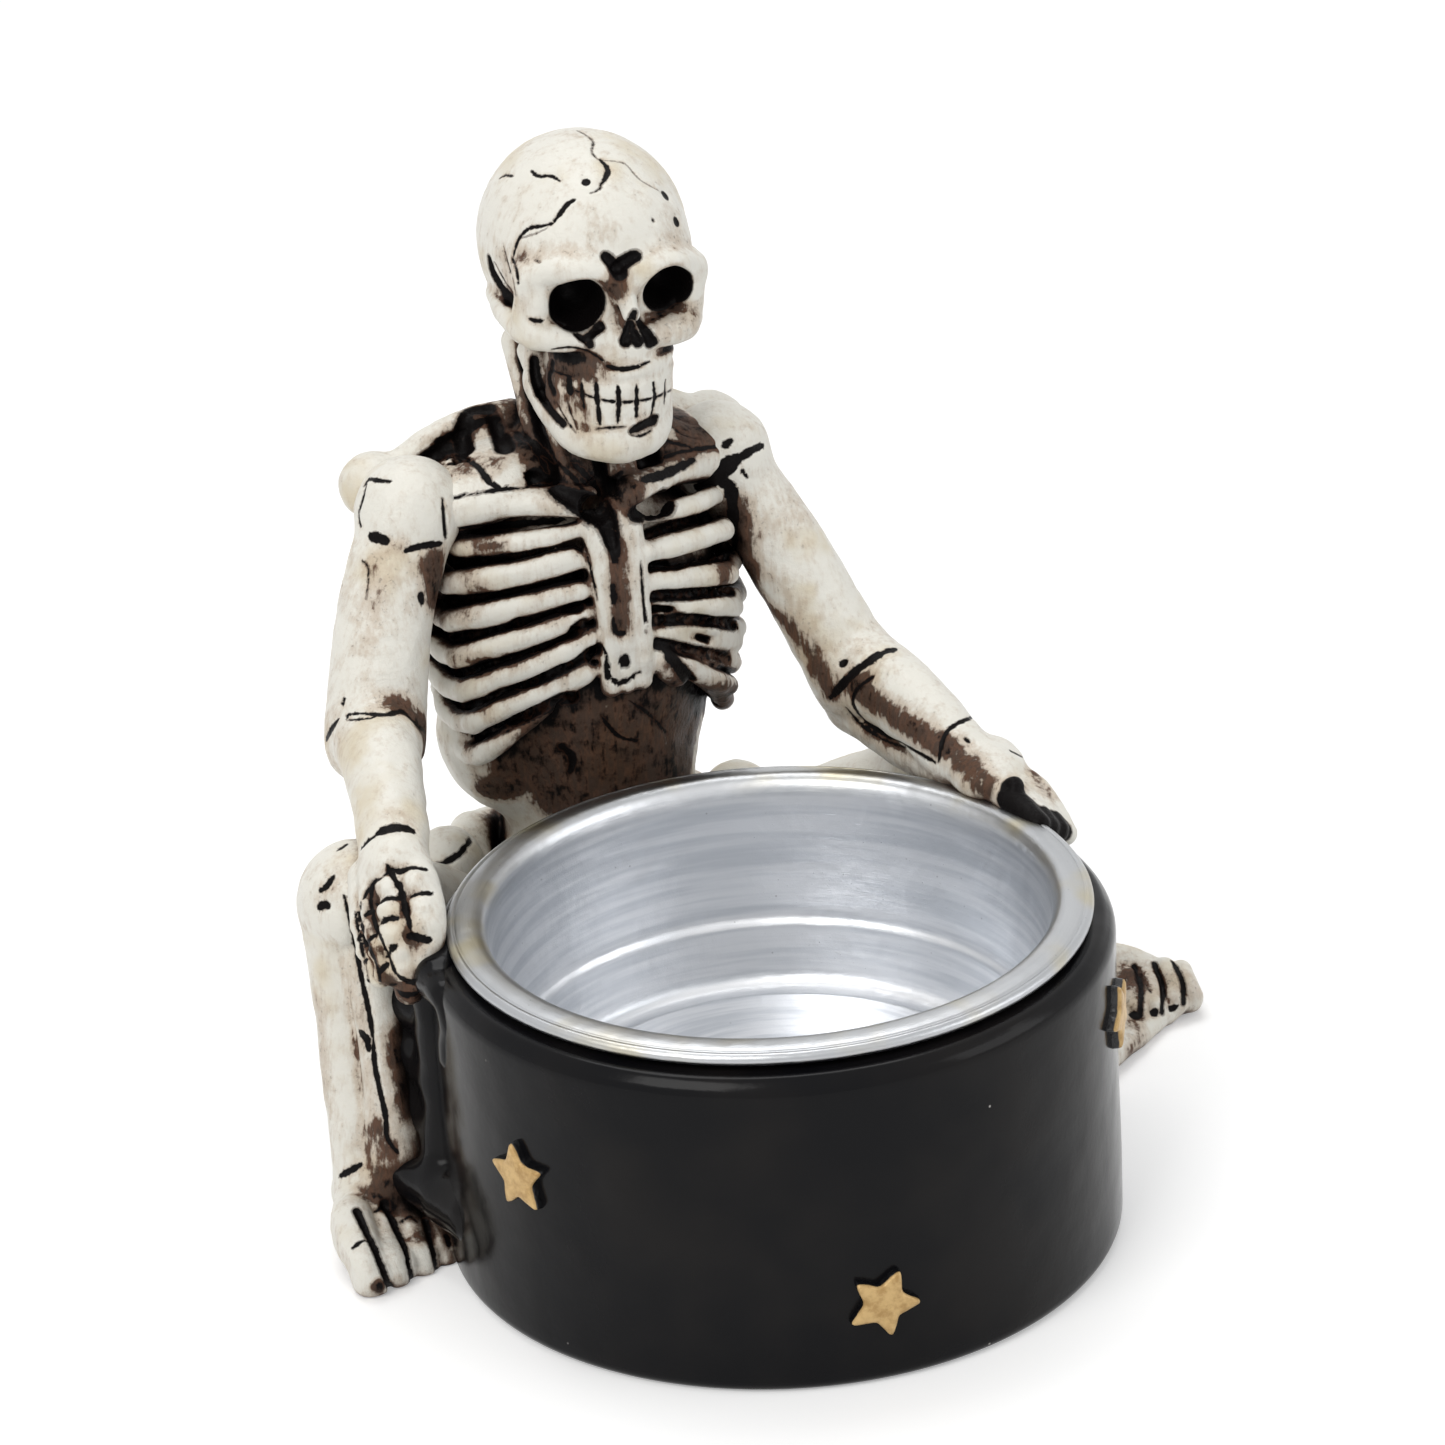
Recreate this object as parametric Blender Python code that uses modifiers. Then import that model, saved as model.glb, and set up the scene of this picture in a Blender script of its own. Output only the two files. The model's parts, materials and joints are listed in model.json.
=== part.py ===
"""Skeleton candle holder: a cast figure seated behind a round pot that it holds, and a turned
aluminium cup that rests in the pot.

The pot stands on the origin with its axis on Z. The figure sits behind it, at +Y, and faces -Y.
The left side of the figure's picture is at -X, and is called near; the side at +X is called far.
"""

import math

import bmesh
import bpy
from mathutils import Euler, Matrix, Vector

MM = 0.001

# Cup
CUP_MOUTH_RADIUS = 20.2 * MM
CUP_RIM_WIDTH = 2.8 * MM
CUP_RIM_ROLL = 1.0 * MM
CUP_STEP_INSET = 1.1 * MM
CUP_STEP_DEPTH = 11.2 * MM
CUP_FLOOR_INSET = 0.9 * MM
CUP_RING_INSET = 2.0 * MM
CUP_DEPTH = 16.6 * MM
CUP_FLOOR_RISE = 0.4 * MM
CUP_CORNER = 1.2 * MM
CUP_WALL = 0.5 * MM
CUP_CLEARANCE = 0.35 * MM
CUP_RIM_RADIUS = CUP_MOUTH_RADIUS + CUP_RIM_WIDTH
CUP_STEP_RADIUS = CUP_MOUTH_RADIUS - CUP_STEP_INSET
CUP_FLOOR_RADIUS = CUP_STEP_RADIUS - CUP_FLOOR_INSET
CUP_FLOOR_RING = CUP_FLOOR_RADIUS - CUP_RING_INSET

# Pot, which is made round the cup
POT_WALL = 3.45 * MM
POT_FLOOR = 8.8 * MM
POT_RIM_ROUND = 1.8 * MM
POT_FOOT_ROUND = 1.0 * MM
HOLE_RADIUS = CUP_MOUTH_RADIUS + CUP_WALL + CUP_CLEARANCE
POT_RADIUS = HOLE_RADIUS + POT_WALL
POT_HEIGHT = POT_FLOOR + CUP_DEPTH - CUP_RIM_ROLL
STAR_POINT_RADIUS = 2.9 * MM
STAR_NOTCH_SHARE = 0.52
STAR_RELIEF = 0.8 * MM
STAR_HEIGHTS = (13.9 * MM, 6.6 * MM, 18.2 * MM)
STAR_ANGLES = (-160.0, -97.6, -35.0)
STAR_TURNS = (8.0, -27.0, 20.0)

# Body of the figure
SEAT_BEHIND = 11.5 * MM
HIP_HEIGHT = 9.0 * MM
HIP_HALF_WIDTH = 8.5 * MM
HIP_TO_CHEST = 27.0 * MM
CHEST_HALF_WIDTH = 12.0 * MM
CHEST_HALF_DEPTH = 8.2 * MM
CHEST_HALF_HEIGHT = 12.6 * MM
CHEST_LEAN = 2.4 * MM
RIB_COUNT = 7
RIB_RADIUS = 0.95 * MM
RIB_FRONT_PITCH = 1.85 * MM
RIB_SIDE_PITCH = 2.9 * MM
STERNUM_HALF_WIDTH = 2.5 * MM
CHEST_TO_SHOULDER = 10.8 * MM
SHOULDER_HALF_WIDTH = 12.3 * MM
SHOULDER_SIDE = -0.9 * MM
WAIST_RADIUS = 7.4 * MM

# Skull
SHOULDER_TO_SKULL = 18.0 * MM
SKULL_SIDE = 2.1 * MM
SKULL_HALF_WIDTH = 7.7 * MM
SKULL_HALF_LENGTH = 8.9 * MM
SKULL_HALF_HEIGHT = 7.9 * MM
SKULL_LEAN = 5.5
SKULL_TURN = -5.0
EYE_RADIUS = 2.05 * MM
EYE_SPACING = 3.35 * MM
FACE_SIDE = 0.5 * MM
JAW_LENGTH = 14.3 * MM

# Limbs
UPPER_ARM_RADIUS = 3.6 * MM
FOREARM_RADIUS = 3.3 * MM
FINGER_RADIUS = 0.95 * MM
THIGH_RADIUS = 4.2 * MM
SHIN_RADIUS = 2.6 * MM
KNEE_RADIUS = 4.3 * MM
NEAR_KNEE_HEIGHT = 24.6 * MM
FAR_KNEE_HEIGHT = 20.5 * MM
LEG_GAP = 5.9 * MM
TOE_RADIUS = 1.05 * MM

# Making
VOXEL = 0.32 * MM
SMOOTH_COUNT = 3
TRIANGLE_COUNT = 7200
TURN_STEPS = 60
GROUND = 20.0 * MM

SIDES = {"near": -1.0, "far": 1.0}
BONE = (0.78, 0.73, 0.62)
ALUMINIUM = (0.72, 0.73, 0.74)


def clear_scene():
    for obj in list(bpy.data.objects):
        bpy.data.objects.remove(obj, do_unlink=True)


def collection(name, hidden):
    made = bpy.data.collections.new(name)
    bpy.context.scene.collection.children.link(made)
    made.hide_render = hidden
    return made


def material(name, colour, roughness, metallic):
    made = bpy.data.materials.new(name)
    made.use_nodes = True
    shader = made.node_tree.nodes["Principled BSDF"]
    shader.inputs["Base Color"].default_value = (*colour, 1.0)
    shader.inputs["Roughness"].default_value = roughness
    shader.inputs["Metallic"].default_value = metallic
    made.diffuse_color = (*colour, 1.0)
    return made


def add_object(name, mesh, home):
    obj = bpy.data.objects.new(name, mesh)
    home.objects.link(obj)
    return obj


def baked(obj):
    """The object's mesh as its modifiers leave it, in world space."""
    bpy.context.view_layer.update()
    graph = bpy.context.evaluated_depsgraph_get()
    mesh = bpy.data.meshes.new_from_object(obj.evaluated_get(graph))
    mesh.transform(obj.matrix_world)
    return mesh


def replace_by_baked(obj):
    """Turns an object into the plain mesh that its modifiers make."""
    mesh = baked(obj)
    name = obj.name
    home = obj.users_collection[0]
    bpy.data.objects.remove(obj, do_unlink=True)
    mesh.name = name
    return add_object(name, mesh, home)


def ball(centre, radii, turn=None, segments=20, rings=12):
    """An ellipsoid, its radii along its own axes, turned by an Euler."""
    bm = bmesh.new()
    bmesh.ops.create_uvsphere(bm, u_segments=segments, v_segments=rings, radius=1.0)
    size = Matrix.Diagonal((*radii, 1.0))
    rotation = turn.to_matrix().to_4x4() if turn else Matrix.Identity(4)
    bmesh.ops.transform(bm, matrix=Matrix.Translation(centre) @ rotation @ size, verts=bm.verts)
    return bm


def tube(points, radii, sides=3):
    """A round bar through the points, with a radius at each, and a ball on each end."""
    data = bpy.data.curves.new("bar", "CURVE")
    data.dimensions = "3D"
    data.bevel_depth = 1.0
    data.bevel_resolution = sides
    data.use_fill_caps = True
    line = data.splines.new("POLY")
    line.points.add(len(points) - 1)
    for point, place, radius in zip(line.points, points, radii):
        point.co = (*place, 1.0)
        point.radius = radius
    obj = bpy.data.objects.new("bar", data)
    bpy.context.scene.collection.objects.link(obj)
    mesh = baked(obj)
    bpy.data.objects.remove(obj, do_unlink=True)
    bm = bmesh.new()
    bm.from_mesh(mesh)
    bmesh.ops.remove_doubles(bm, verts=bm.verts, dist=0.01 * MM)
    bmesh.ops.recalc_face_normals(bm, faces=bm.faces)
    for place, radius in ((points[0], radii[0]), (points[-1], radii[-1])):
        join(bm, ball(place, (radius, radius, radius), segments=12, rings=8))
    return bm


def join(bm, other):
    """Adds the shapes of other to bm, as separate bodies."""
    mesh = bpy.data.meshes.new("piece")
    other.to_mesh(mesh)
    other.free()
    bm.from_mesh(mesh)
    bpy.data.meshes.remove(mesh)


def between(start, end, share):
    return start + (end - start) * share


def smooth_path(corners, count):
    """Evenly numbered points on a smooth curve through the corners."""
    places = []
    spans = len(corners) - 1
    for i in range(count):
        at = i * spans / (count - 1)
        k = min(int(at), spans - 1)
        t = at - k
        before = corners[max(k - 1, 0)]
        after = corners[min(k + 2, spans)]
        a, b = corners[k], corners[k + 1]
        slope_a = (b - before) * 0.5
        slope_b = (after - a) * 0.5
        places.append(
            a * (2 * t**3 - 3 * t**2 + 1)
            + b * (3 * t**2 - 2 * t**3)
            + slope_a * (t**3 - 2 * t**2 + t)
            + slope_b * (t**3 - t**2)
        )
    return places


def ramp(values, count):
    """Radii for smooth_path's points, read from the values at its corners."""
    spans = len(values) - 1
    found = []
    for i in range(count):
        at = i * spans / (count - 1)
        k = min(int(at), spans - 1)
        found.append(between(values[k], values[k + 1], at - k))
    return found


def bent_tube(corners, radii, count=12):
    return tube(smooth_path(corners, count), ramp(radii, count))


def beside_pot(angle, gap, height):
    """A point outside the pot's wall: the angle is from +X, and the gap is from the wall."""
    turn = math.radians(angle)
    out = POT_RADIUS + gap
    return Vector((out * math.cos(turn), out * math.sin(turn), height))


def mm(x, y, z):
    return Vector((x, y, z)) * MM


def places():
    """The figure's joints, worked out from the pot and from the lengths above."""
    hip = Vector((0.0, POT_RADIUS + SEAT_BEHIND, HIP_HEIGHT))
    chest = hip + Vector((0.0, -CHEST_LEAN, HIP_TO_CHEST))
    shoulders = chest + Vector((0.0, 0.0, CHEST_TO_SHOULDER))
    skull = shoulders + Vector((SKULL_SIDE, 0.0, SHOULDER_TO_SKULL))
    found = {"hip": hip, "chest": chest, "shoulders": shoulders, "skull": skull}
    neck_side = Vector((SHOULDER_SIDE, -0.6 * MM, 0.0))
    found["near_shoulder"] = shoulders + neck_side + Vector((-SHOULDER_HALF_WIDTH, 0.0, 0.0))
    found["far_shoulder"] = shoulders + neck_side + Vector((SHOULDER_HALF_WIDTH, 0.0, -0.6 * MM))
    found["near_knee"] = beside_pot(145.0, LEG_GAP, NEAR_KNEE_HEIGHT)
    found["far_knee"] = beside_pot(43.5, LEG_GAP + 2.1 * MM, FAR_KNEE_HEIGHT)
    found["near_ankle"] = beside_pot(155.0, 4.9 * MM, 4.8 * MM)
    found["far_ankle"] = beside_pot(33.5, 12.2 * MM, 4.4 * MM)
    found["near_wrist"] = found["near_knee"] + mm(2.6, -1.6, 5.4)
    found["far_wrist"] = beside_pot(31.0, 0.0, POT_HEIGHT + 2.8 * MM)
    for side, share, bend in (("near", 0.58, mm(-0.9, 3.8, -5.0)), ("far", 0.62, mm(1.0, 4.4, -5.2))):
        along = between(found[side + "_shoulder"], found[side + "_wrist"], share)
        found[side + "_elbow"] = along + bend
    return found


def turned(profile, name, home):
    """A solid of revolution. The profile's points run from the top down its outer side."""
    mesh = bpy.data.meshes.new(name)
    count = len(profile)
    mesh.from_pydata([(r, 0.0, z) for r, z in profile], [(i, i + 1) for i in range(count - 1)], [])
    obj = add_object(name, mesh, home)
    screw = obj.modifiers.new("turn", "SCREW")
    screw.steps = TURN_STEPS
    screw.render_steps = TURN_STEPS
    screw.use_merge_vertices = True
    screw.merge_threshold = 0.01 * MM
    return replace_by_baked(obj)


def arc(centre_r, centre_z, radius, start, end, steps):
    """Points of a round in a profile, by its angles from +R in degrees."""
    found = []
    for i in range(steps + 1):
        angle = math.radians(start + (end - start) * i / steps)
        found.append((centre_r + radius * math.cos(angle), centre_z + radius * math.sin(angle)))
    return found


def cup_top():
    """The height of the middle of the cup's rolled rim, which rests just clear of the pot."""
    return POT_HEIGHT + CUP_CLEARANCE + CUP_RIM_ROLL


def cup_bottom():
    return cup_top() - CUP_DEPTH


def pot_profile():
    rim = arc(POT_RADIUS - POT_RIM_ROUND, POT_HEIGHT - POT_RIM_ROUND, POT_RIM_ROUND, 90, 0, 5)
    foot = arc(POT_RADIUS - POT_FOOT_ROUND, POT_FOOT_ROUND, POT_FOOT_ROUND, 0, -90, 5)
    return [(0.0, POT_HEIGHT)] + rim + foot + [(0.0, 0.0)]


def cup_space_profile():
    """The room that the cup takes: its hole in the pot, and its rim with a little air around it."""
    above = cup_top() + CUP_RIM_ROLL + 6.0 * CUP_CLEARANCE
    rim = CUP_RIM_RADIUS + CUP_CLEARANCE
    edge = [(0.0, above), (rim, above), (rim, POT_HEIGHT), (HOLE_RADIUS, POT_HEIGHT)]
    return edge + [(HOLE_RADIUS, POT_FLOOR), (0.0, POT_FLOOR)]


def star(angle, height, turn, home):
    """A raised five-pointed star that stands out of the pot's wall."""
    data = bpy.data.curves.new("star", "CURVE")
    data.dimensions = "2D"
    data.fill_mode = "BOTH"
    depth = STAR_RELIEF + 0.6 * POT_WALL
    data.extrude = depth / 2
    line = data.splines.new("POLY")
    line.points.add(9)
    for i, point in enumerate(line.points):
        out = STAR_POINT_RADIUS * (1.0 if i % 2 == 0 else STAR_NOTCH_SHARE)
        at = math.radians(36.0 * i + 90.0 + turn)
        point.co = (out * math.cos(at), out * math.sin(at), 0.0, 1.0)
    line.use_cyclic_u = True
    obj = bpy.data.objects.new("star", data)
    home.objects.link(obj)
    way = math.radians(angle)
    outward = Vector((math.cos(way), math.sin(way), 0.0))
    middle = outward * (POT_RADIUS + STAR_RELIEF - depth / 2)
    obj.location = middle + Vector((0.0, 0.0, height))
    obj.rotation_euler = Euler((math.radians(90.0), 0.0, way + math.radians(90.0)))
    made = replace_by_baked(obj)
    bm = bmesh.new()
    bm.from_mesh(made.data)
    bmesh.ops.remove_doubles(bm, verts=bm.verts, dist=0.001 * MM)
    bmesh.ops.recalc_face_normals(bm, faces=bm.faces)
    bm.to_mesh(made.data)
    bm.free()
    return made


def boolean(obj, other, operation, solver="EXACT"):
    """Joins other to obj, or cuts it out, and removes it."""
    step = obj.modifiers.new(operation.lower(), "BOOLEAN")
    step.operation = operation
    step.solver = solver
    step.object = other
    made = replace_by_baked(obj)
    bpy.data.objects.remove(other, do_unlink=True)
    return made


def skull_frame(spot):
    """Turns the skull's own places, front at -Y and up at +Z, into the world's."""
    turn = Euler((0.0, math.radians(SKULL_LEAN), math.radians(SKULL_TURN)))
    return Matrix.Translation(spot["skull"]) @ turn.to_matrix().to_4x4()


def skull_forms():
    """Cranium, brow, cheeks, upper and lower jaw, in the skull's own frame."""
    wide, long, tall = SKULL_HALF_WIDTH, SKULL_HALF_LENGTH, SKULL_HALF_HEIGHT
    front = -long
    chin = -JAW_LENGTH
    bm = ball(Vector((0.0, 0.06 * long, 0.0)), (wide, long, tall), segments=32, rings=20)
    join(bm, ball(Vector((0.0, 0.45 * front, -0.05 * tall)), (0.86 * wide, 0.54 * long, 0.72 * tall)))
    join(bm, ball(Vector((0.0, 0.52 * front, -0.34 * tall)), (0.78 * wide, 0.38 * long, 0.46 * tall)))
    for side in (-1.0, 1.0):
        brow = [
            Vector((0.0, 0.94 * front, -0.08 * tall)),
            Vector((side * 0.44 * wide, 0.93 * front, 0.02 * tall)),
            Vector((side * 0.80 * wide, 0.70 * front, -0.14 * tall)),
            Vector((side * 0.80 * wide, 0.66 * front, -0.46 * tall)),
        ]
        join(bm, bent_tube(brow, [1.1 * MM, 1.2 * MM, 1.3 * MM, 1.3 * MM]))
        cheek = [
            Vector((side * 0.36 * wide, 0.92 * front, -0.62 * tall)),
            Vector((side * 0.72 * wide, 0.74 * front, -0.60 * tall)),
            Vector((side * 0.78 * wide, 0.38 * front, -0.55 * tall)),
            Vector((side * 0.76 * wide, 0.05 * front, -0.52 * tall)),
        ]
        join(bm, bent_tube(cheek, [1.2 * MM, 1.6 * MM, 1.2 * MM, 1.0 * MM]))
        jaw = [
            Vector((side * 0.62 * wide + FACE_SIDE, 0.22 * front, -0.62 * tall)),
            Vector((side * 0.58 * wide + FACE_SIDE, 0.32 * front, 0.66 * chin)),
            Vector((side * 0.48 * wide + FACE_SIDE, 0.55 * front, 0.82 * chin)),
            Vector((side * 0.34 * wide + FACE_SIDE, 0.80 * front, 0.87 * chin)),
            Vector((FACE_SIDE, 0.90 * front, 0.87 * chin)),
        ]
        join(bm, bent_tube(jaw, [1.2 * MM, 1.5 * MM, 1.5 * MM, 1.8 * MM, 1.9 * MM], 16))
    join(bm, ball(Vector((0.0, 0.70 * front, -0.50 * tall)), (0.48 * wide, 0.33 * long, 0.40 * tall)))
    for drop, width in ((0.52, 0.52), (0.68, 0.50)):
        row = Vector((FACE_SIDE, 0.58 * front, drop * chin))
        join(bm, ball(row, (width * wide, 0.41 * long, 0.17 * -chin)))
    join(bm, ball(Vector((0.0, 0.10 * front, 0.50 * chin)), (0.44 * wide, 0.34 * long, 0.22 * -chin)))
    return bm


def skull_hollows():
    """What is cut out of the skull: eye sockets, nose and the hollows behind the cheeks."""
    wide, long, tall = SKULL_HALF_WIDTH, SKULL_HALF_LENGTH, SKULL_HALF_HEIGHT
    front = -long
    bm = bmesh.new()
    for side in (-1.0, 1.0):
        socket = Vector((side * EYE_SPACING + FACE_SIDE, 0.92 * front, -0.24 * tall))
        join(bm, ball(socket, (EYE_RADIUS, 1.5 * EYE_RADIUS, 0.98 * EYE_RADIUS)))
        nostril = Vector((side * 0.15 * wide + 0.4 * FACE_SIDE, 1.02 * front, -0.53 * tall))
        lean = Euler((0.0, side * math.radians(-22.0), 0.0))
        join(bm, ball(nostril, (0.11 * wide, 0.24 * long, 0.19 * tall), lean))
        hollow = Vector((side * 0.72 * wide + FACE_SIDE, 0.52 * front, -0.56 * JAW_LENGTH))
        join(bm, ball(hollow, (0.20 * wide, 0.18 * long, 0.13 * JAW_LENGTH)))
    notch = Vector((0.0, 1.02 * front, 0.02 * tall))
    join(bm, ball(notch, (0.11 * wide, 0.10 * long, 0.10 * tall)))
    return bm


def chest_point(spot, angle, height):
    """A point on the rib cage's surface: angle 0 is the front, and height is from its middle."""
    rise = min(abs(height) / CHEST_HALF_HEIGHT, 1.0)
    narrow = math.sqrt(max(1.0 - 0.42 * rise * rise, 0.0))
    turn = math.radians(angle)
    return spot["chest"] + Vector(
        (
            CHEST_HALF_WIDTH * narrow * math.sin(turn),
            -CHEST_HALF_DEPTH * narrow * math.cos(turn),
            height,
        )
    )


def rib(spot, side, number):
    """One rib: down from the sternum to the side, and up again round the back to the spine."""
    front = 8.9 * MM - number * RIB_FRONT_PITCH
    flank = 7.6 * MM - number * RIB_SIDE_PITCH
    corners = []
    for angle, height in (
        (12.0, front),
        (40.0, between(front, flank, 0.55)),
        (75.0, flank),
        (110.0, flank + 0.9 * MM),
        (145.0, flank + 2.4 * MM),
        (175.0, flank + 3.4 * MM),
    ):
        corners.append(chest_point(spot, side * angle, height))
    return bent_tube(corners, [RIB_RADIUS] * len(corners), 18)


def torso_forms(spot):
    chest, hip, shoulders = spot["chest"], spot["hip"], spot["shoulders"]
    inner = RIB_RADIUS * 0.75
    middle = chest + Vector((0.0, 0.0, -0.8 * MM))
    size = (CHEST_HALF_WIDTH - inner, CHEST_HALF_DEPTH - inner, CHEST_HALF_HEIGHT)
    bm = ball(middle, size, segments=32, rings=20)
    for side in SIDES.values():
        for number in range(RIB_COUNT):
            join(bm, rib(spot, side, number))
        join(bm, girdle(spot, side))
    for offset in (-0.5, 0.5):
        plate = []
        for height in (9.6 * MM, 5.0 * MM, 0.0, -3.6 * MM):
            place = chest_point(spot, 0.0, height)
            place.x += offset * STERNUM_HALF_WIDTH
            plate.append(place)
        join(bm, bent_tube(plate, [0.52 * STERNUM_HALF_WIDTH] * 4, 8))
    to_far = Vector((0.14 * WAIST_RADIUS, 0.0, 0.0))
    waist = [chest + Vector((0.0, 0.4 * MM, -6.0 * MM)), between(chest, hip, 0.62) + to_far, hip]
    join(bm, bent_tube(waist, [WAIST_RADIUS, WAIST_RADIUS, 1.1 * WAIST_RADIUS], 8))
    loin = between(chest, hip, 0.36) + Vector((-0.07 * CHEST_HALF_WIDTH, 1.6 * MM, 0.0))
    join(bm, ball(loin, (0.92 * CHEST_HALF_WIDTH, 0.78 * CHEST_HALF_DEPTH, 0.66 * CHEST_HALF_HEIGHT)))
    spine_top = shoulders + Vector((0.5 * SKULL_SIDE, 2.5 * MM, 0.62 * SHOULDER_TO_SKULL))
    spine = [
        hip + Vector((0.0, 6.5 * MM, 0.0)),
        between(hip, chest, 0.5) + Vector((0.0, 5.4 * MM, 0.0)),
        chest + Vector((0.0, CHEST_HALF_DEPTH - 0.4 * MM, 0.0)),
        shoulders + Vector((0.0, 4.0 * MM, 0.0)),
        spine_top,
    ]
    join(bm, bent_tube(spine, [1.9 * MM, 1.7 * MM, 1.5 * MM, 2.0 * MM, 2.6 * MM], 20))
    for place in smooth_path(spine, 17):
        join(bm, ball(place + Vector((0.0, 1.1 * MM, 0.0)), (1.3 * MM, 1.5 * MM, 0.95 * MM)))
    neck = [shoulders + Vector((0.0, 0.4 * MM, -2.0 * MM)), spine_top + Vector((0.0, -1.2 * MM, 0.0))]
    join(bm, tube(neck, [4.2 * MM, 3.2 * MM]))
    return bm


def girdle(spot, side):
    """Clavicle, shoulder blade and the ridge between them on one side."""
    name = "near" if side < 0 else "far"
    chest, shoulders, joint = spot["chest"], spot["shoulders"], spot[name + "_shoulder"]
    inner = chest_point(spot, side * 10.0, 10.6 * MM)
    tip = joint + Vector((side * 1.2 * MM, 4.4 * MM, 0.6 * MM))
    bm = bent_tube([inner, between(inner, joint, 0.5), joint], [1.3 * MM, 1.35 * MM, 1.7 * MM])
    ridge_end = shoulders + Vector((side * 3.0 * MM, 3.6 * MM, 3.2 * MM))
    ridge = [ridge_end, between(ridge_end, tip, 0.42) + Vector((0.0, 0.0, 1.3 * MM)), tip]
    join(bm, bent_tube(ridge, [1.7 * MM, 1.5 * MM, 1.5 * MM]))
    join(bm, ball(tip, (2.6 * MM, 2.5 * MM, 2.5 * MM)))
    fill = between(inner, ridge_end, 0.5) + Vector((side * 4.2 * MM, 1.2 * MM, -1.0 * MM))
    lean = Euler((0.0, side * math.radians(14.0), 0.0))
    join(bm, ball(fill, (0.56 * SHOULDER_HALF_WIDTH, 4.4 * MM, 3.0 * MM), lean))
    blade = chest + Vector((side * 0.56 * CHEST_HALF_WIDTH, 0.80 * CHEST_HALF_DEPTH, 4.5 * MM))
    flat = Euler((math.radians(8.0), math.radians(side * 16.0), math.radians(side * -24.0)))
    join(bm, ball(blade, (4.2 * MM, 1.5 * MM, 6.0 * MM), flat))
    return bm


def pelvis_forms(spot):
    hip = spot["hip"]
    bm = ball(hip + Vector((0.0, 0.0, -1.5 * MM)), (HIP_HALF_WIDTH, 7.4 * MM, 8.6 * MM), segments=24)
    for name, side in SIDES.items():
        crest = [
            hip + Vector((side * 0.30 * HIP_HALF_WIDTH, 6.0 * MM, 5.5 * MM)),
            hip + Vector((side * 1.05 * HIP_HALF_WIDTH, 2.0 * MM, 7.6 * MM)),
            hip + Vector((side * 1.20 * HIP_HALF_WIDTH, -3.6 * MM, 4.4 * MM)),
        ]
        join(bm, bent_tube(crest, [1.7 * MM, 1.9 * MM, 1.8 * MM]))
        socket = hip + Vector((side * 1.15 * HIP_HALF_WIDTH, -1.0 * MM, 1.5 * MM))
        join(bm, ball(socket, (4.4 * MM, 4.6 * MM, 4.6 * MM)))
        knob = hip + Vector((side * 1.42 * HIP_HALF_WIDTH, -1.6 * MM, 7.8 * MM))
        join(bm, ball(knob, (2.9 * MM, 3.0 * MM, 2.8 * MM)))
        join(bm, leg(spot, name, side, socket))
    bridge = [hip + Vector((0.0, 0.0, -4.0 * MM)), Vector((0.0, POT_RADIUS - 2.0 * MM, 4.5 * MM))]
    join(bm, tube(bridge, [4.4 * MM, 4.4 * MM]))
    return bm


def leg(spot, name, side, socket):
    """Thigh, knee, and a shin of two bones down to the ankle."""
    knee, ankle = spot[name + "_knee"], spot[name + "_ankle"]
    middle = between(socket, knee, 0.5) + Vector((side * 1.6 * MM, 1.2 * MM, 0.4 * MM))
    shares = (1.0, 0.92, 0.86)
    bm = bent_tube([socket, middle, knee], [THIGH_RADIUS * share for share in shares])
    join(bm, ball(knee, (KNEE_RADIUS, KNEE_RADIUS, 0.95 * KNEE_RADIUS)))
    away = Vector((knee.x, knee.y, 0.0)).normalized()
    across = Vector((0.0, 0.0, 1.0)).cross(away) * side
    outer = [
        knee + away * 1.3 * MM - Vector((0.0, 0.0, 1.0 * MM)),
        between(knee, ankle, 0.5) + away * 1.5 * MM + across * 0.7 * MM,
        ankle + away * 1.0 * MM,
    ]
    inner = [
        knee - away * 0.8 * MM + across * -1.5 * MM - Vector((0.0, 0.0, 2.0 * MM)),
        between(knee, ankle, 0.5) - away * 1.5 * MM + across * -1.5 * MM,
        ankle - away * 1.4 * MM + across * -0.6 * MM + Vector((0.0, 0.0, 2.4 * MM)),
    ]
    join(bm, bent_tube(outer, [SHIN_RADIUS * 1.15, SHIN_RADIUS, SHIN_RADIUS * 0.95]))
    join(bm, bent_tube(inner, [SHIN_RADIUS * 0.75, SHIN_RADIUS * 0.68, SHIN_RADIUS * 0.8]))
    join(bm, ball(ankle + Vector((0.0, 0.0, -0.8 * MM)), (3.5 * MM, 3.6 * MM, 3.4 * MM)))
    return bm


def foot(heel, toe_middle, big_toe_side):
    """A flat foot: an arched instep and five toes side by side, the big one on one edge."""
    along = (toe_middle - heel).normalized()
    across = Vector((along.y, -along.x, 0.0)) * big_toe_side
    bm = ball(heel, (3.1 * MM, 3.3 * MM, 3.0 * MM))
    sizes = (1.45, 1.08, 1.0, 0.95, 0.9)
    offset = -4.5 * TOE_RADIUS
    for number, size in enumerate(sizes):
        radius = TOE_RADIUS * size
        offset += radius * 0.86
        tip = toe_middle - across * offset - along * (0.55 * number) * MM
        tip.z = radius * 0.95
        knuckle = tip - along * 4.0 * MM
        knuckle.z = 2.5 * MM
        root = between(heel, knuckle, 0.35)
        root.z = 3.9 * MM
        join(bm, bent_tube([root, knuckle, tip], [radius * 1.5, radius * 1.15, radius], 8))
        offset += radius * 0.86
    return bm


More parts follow.
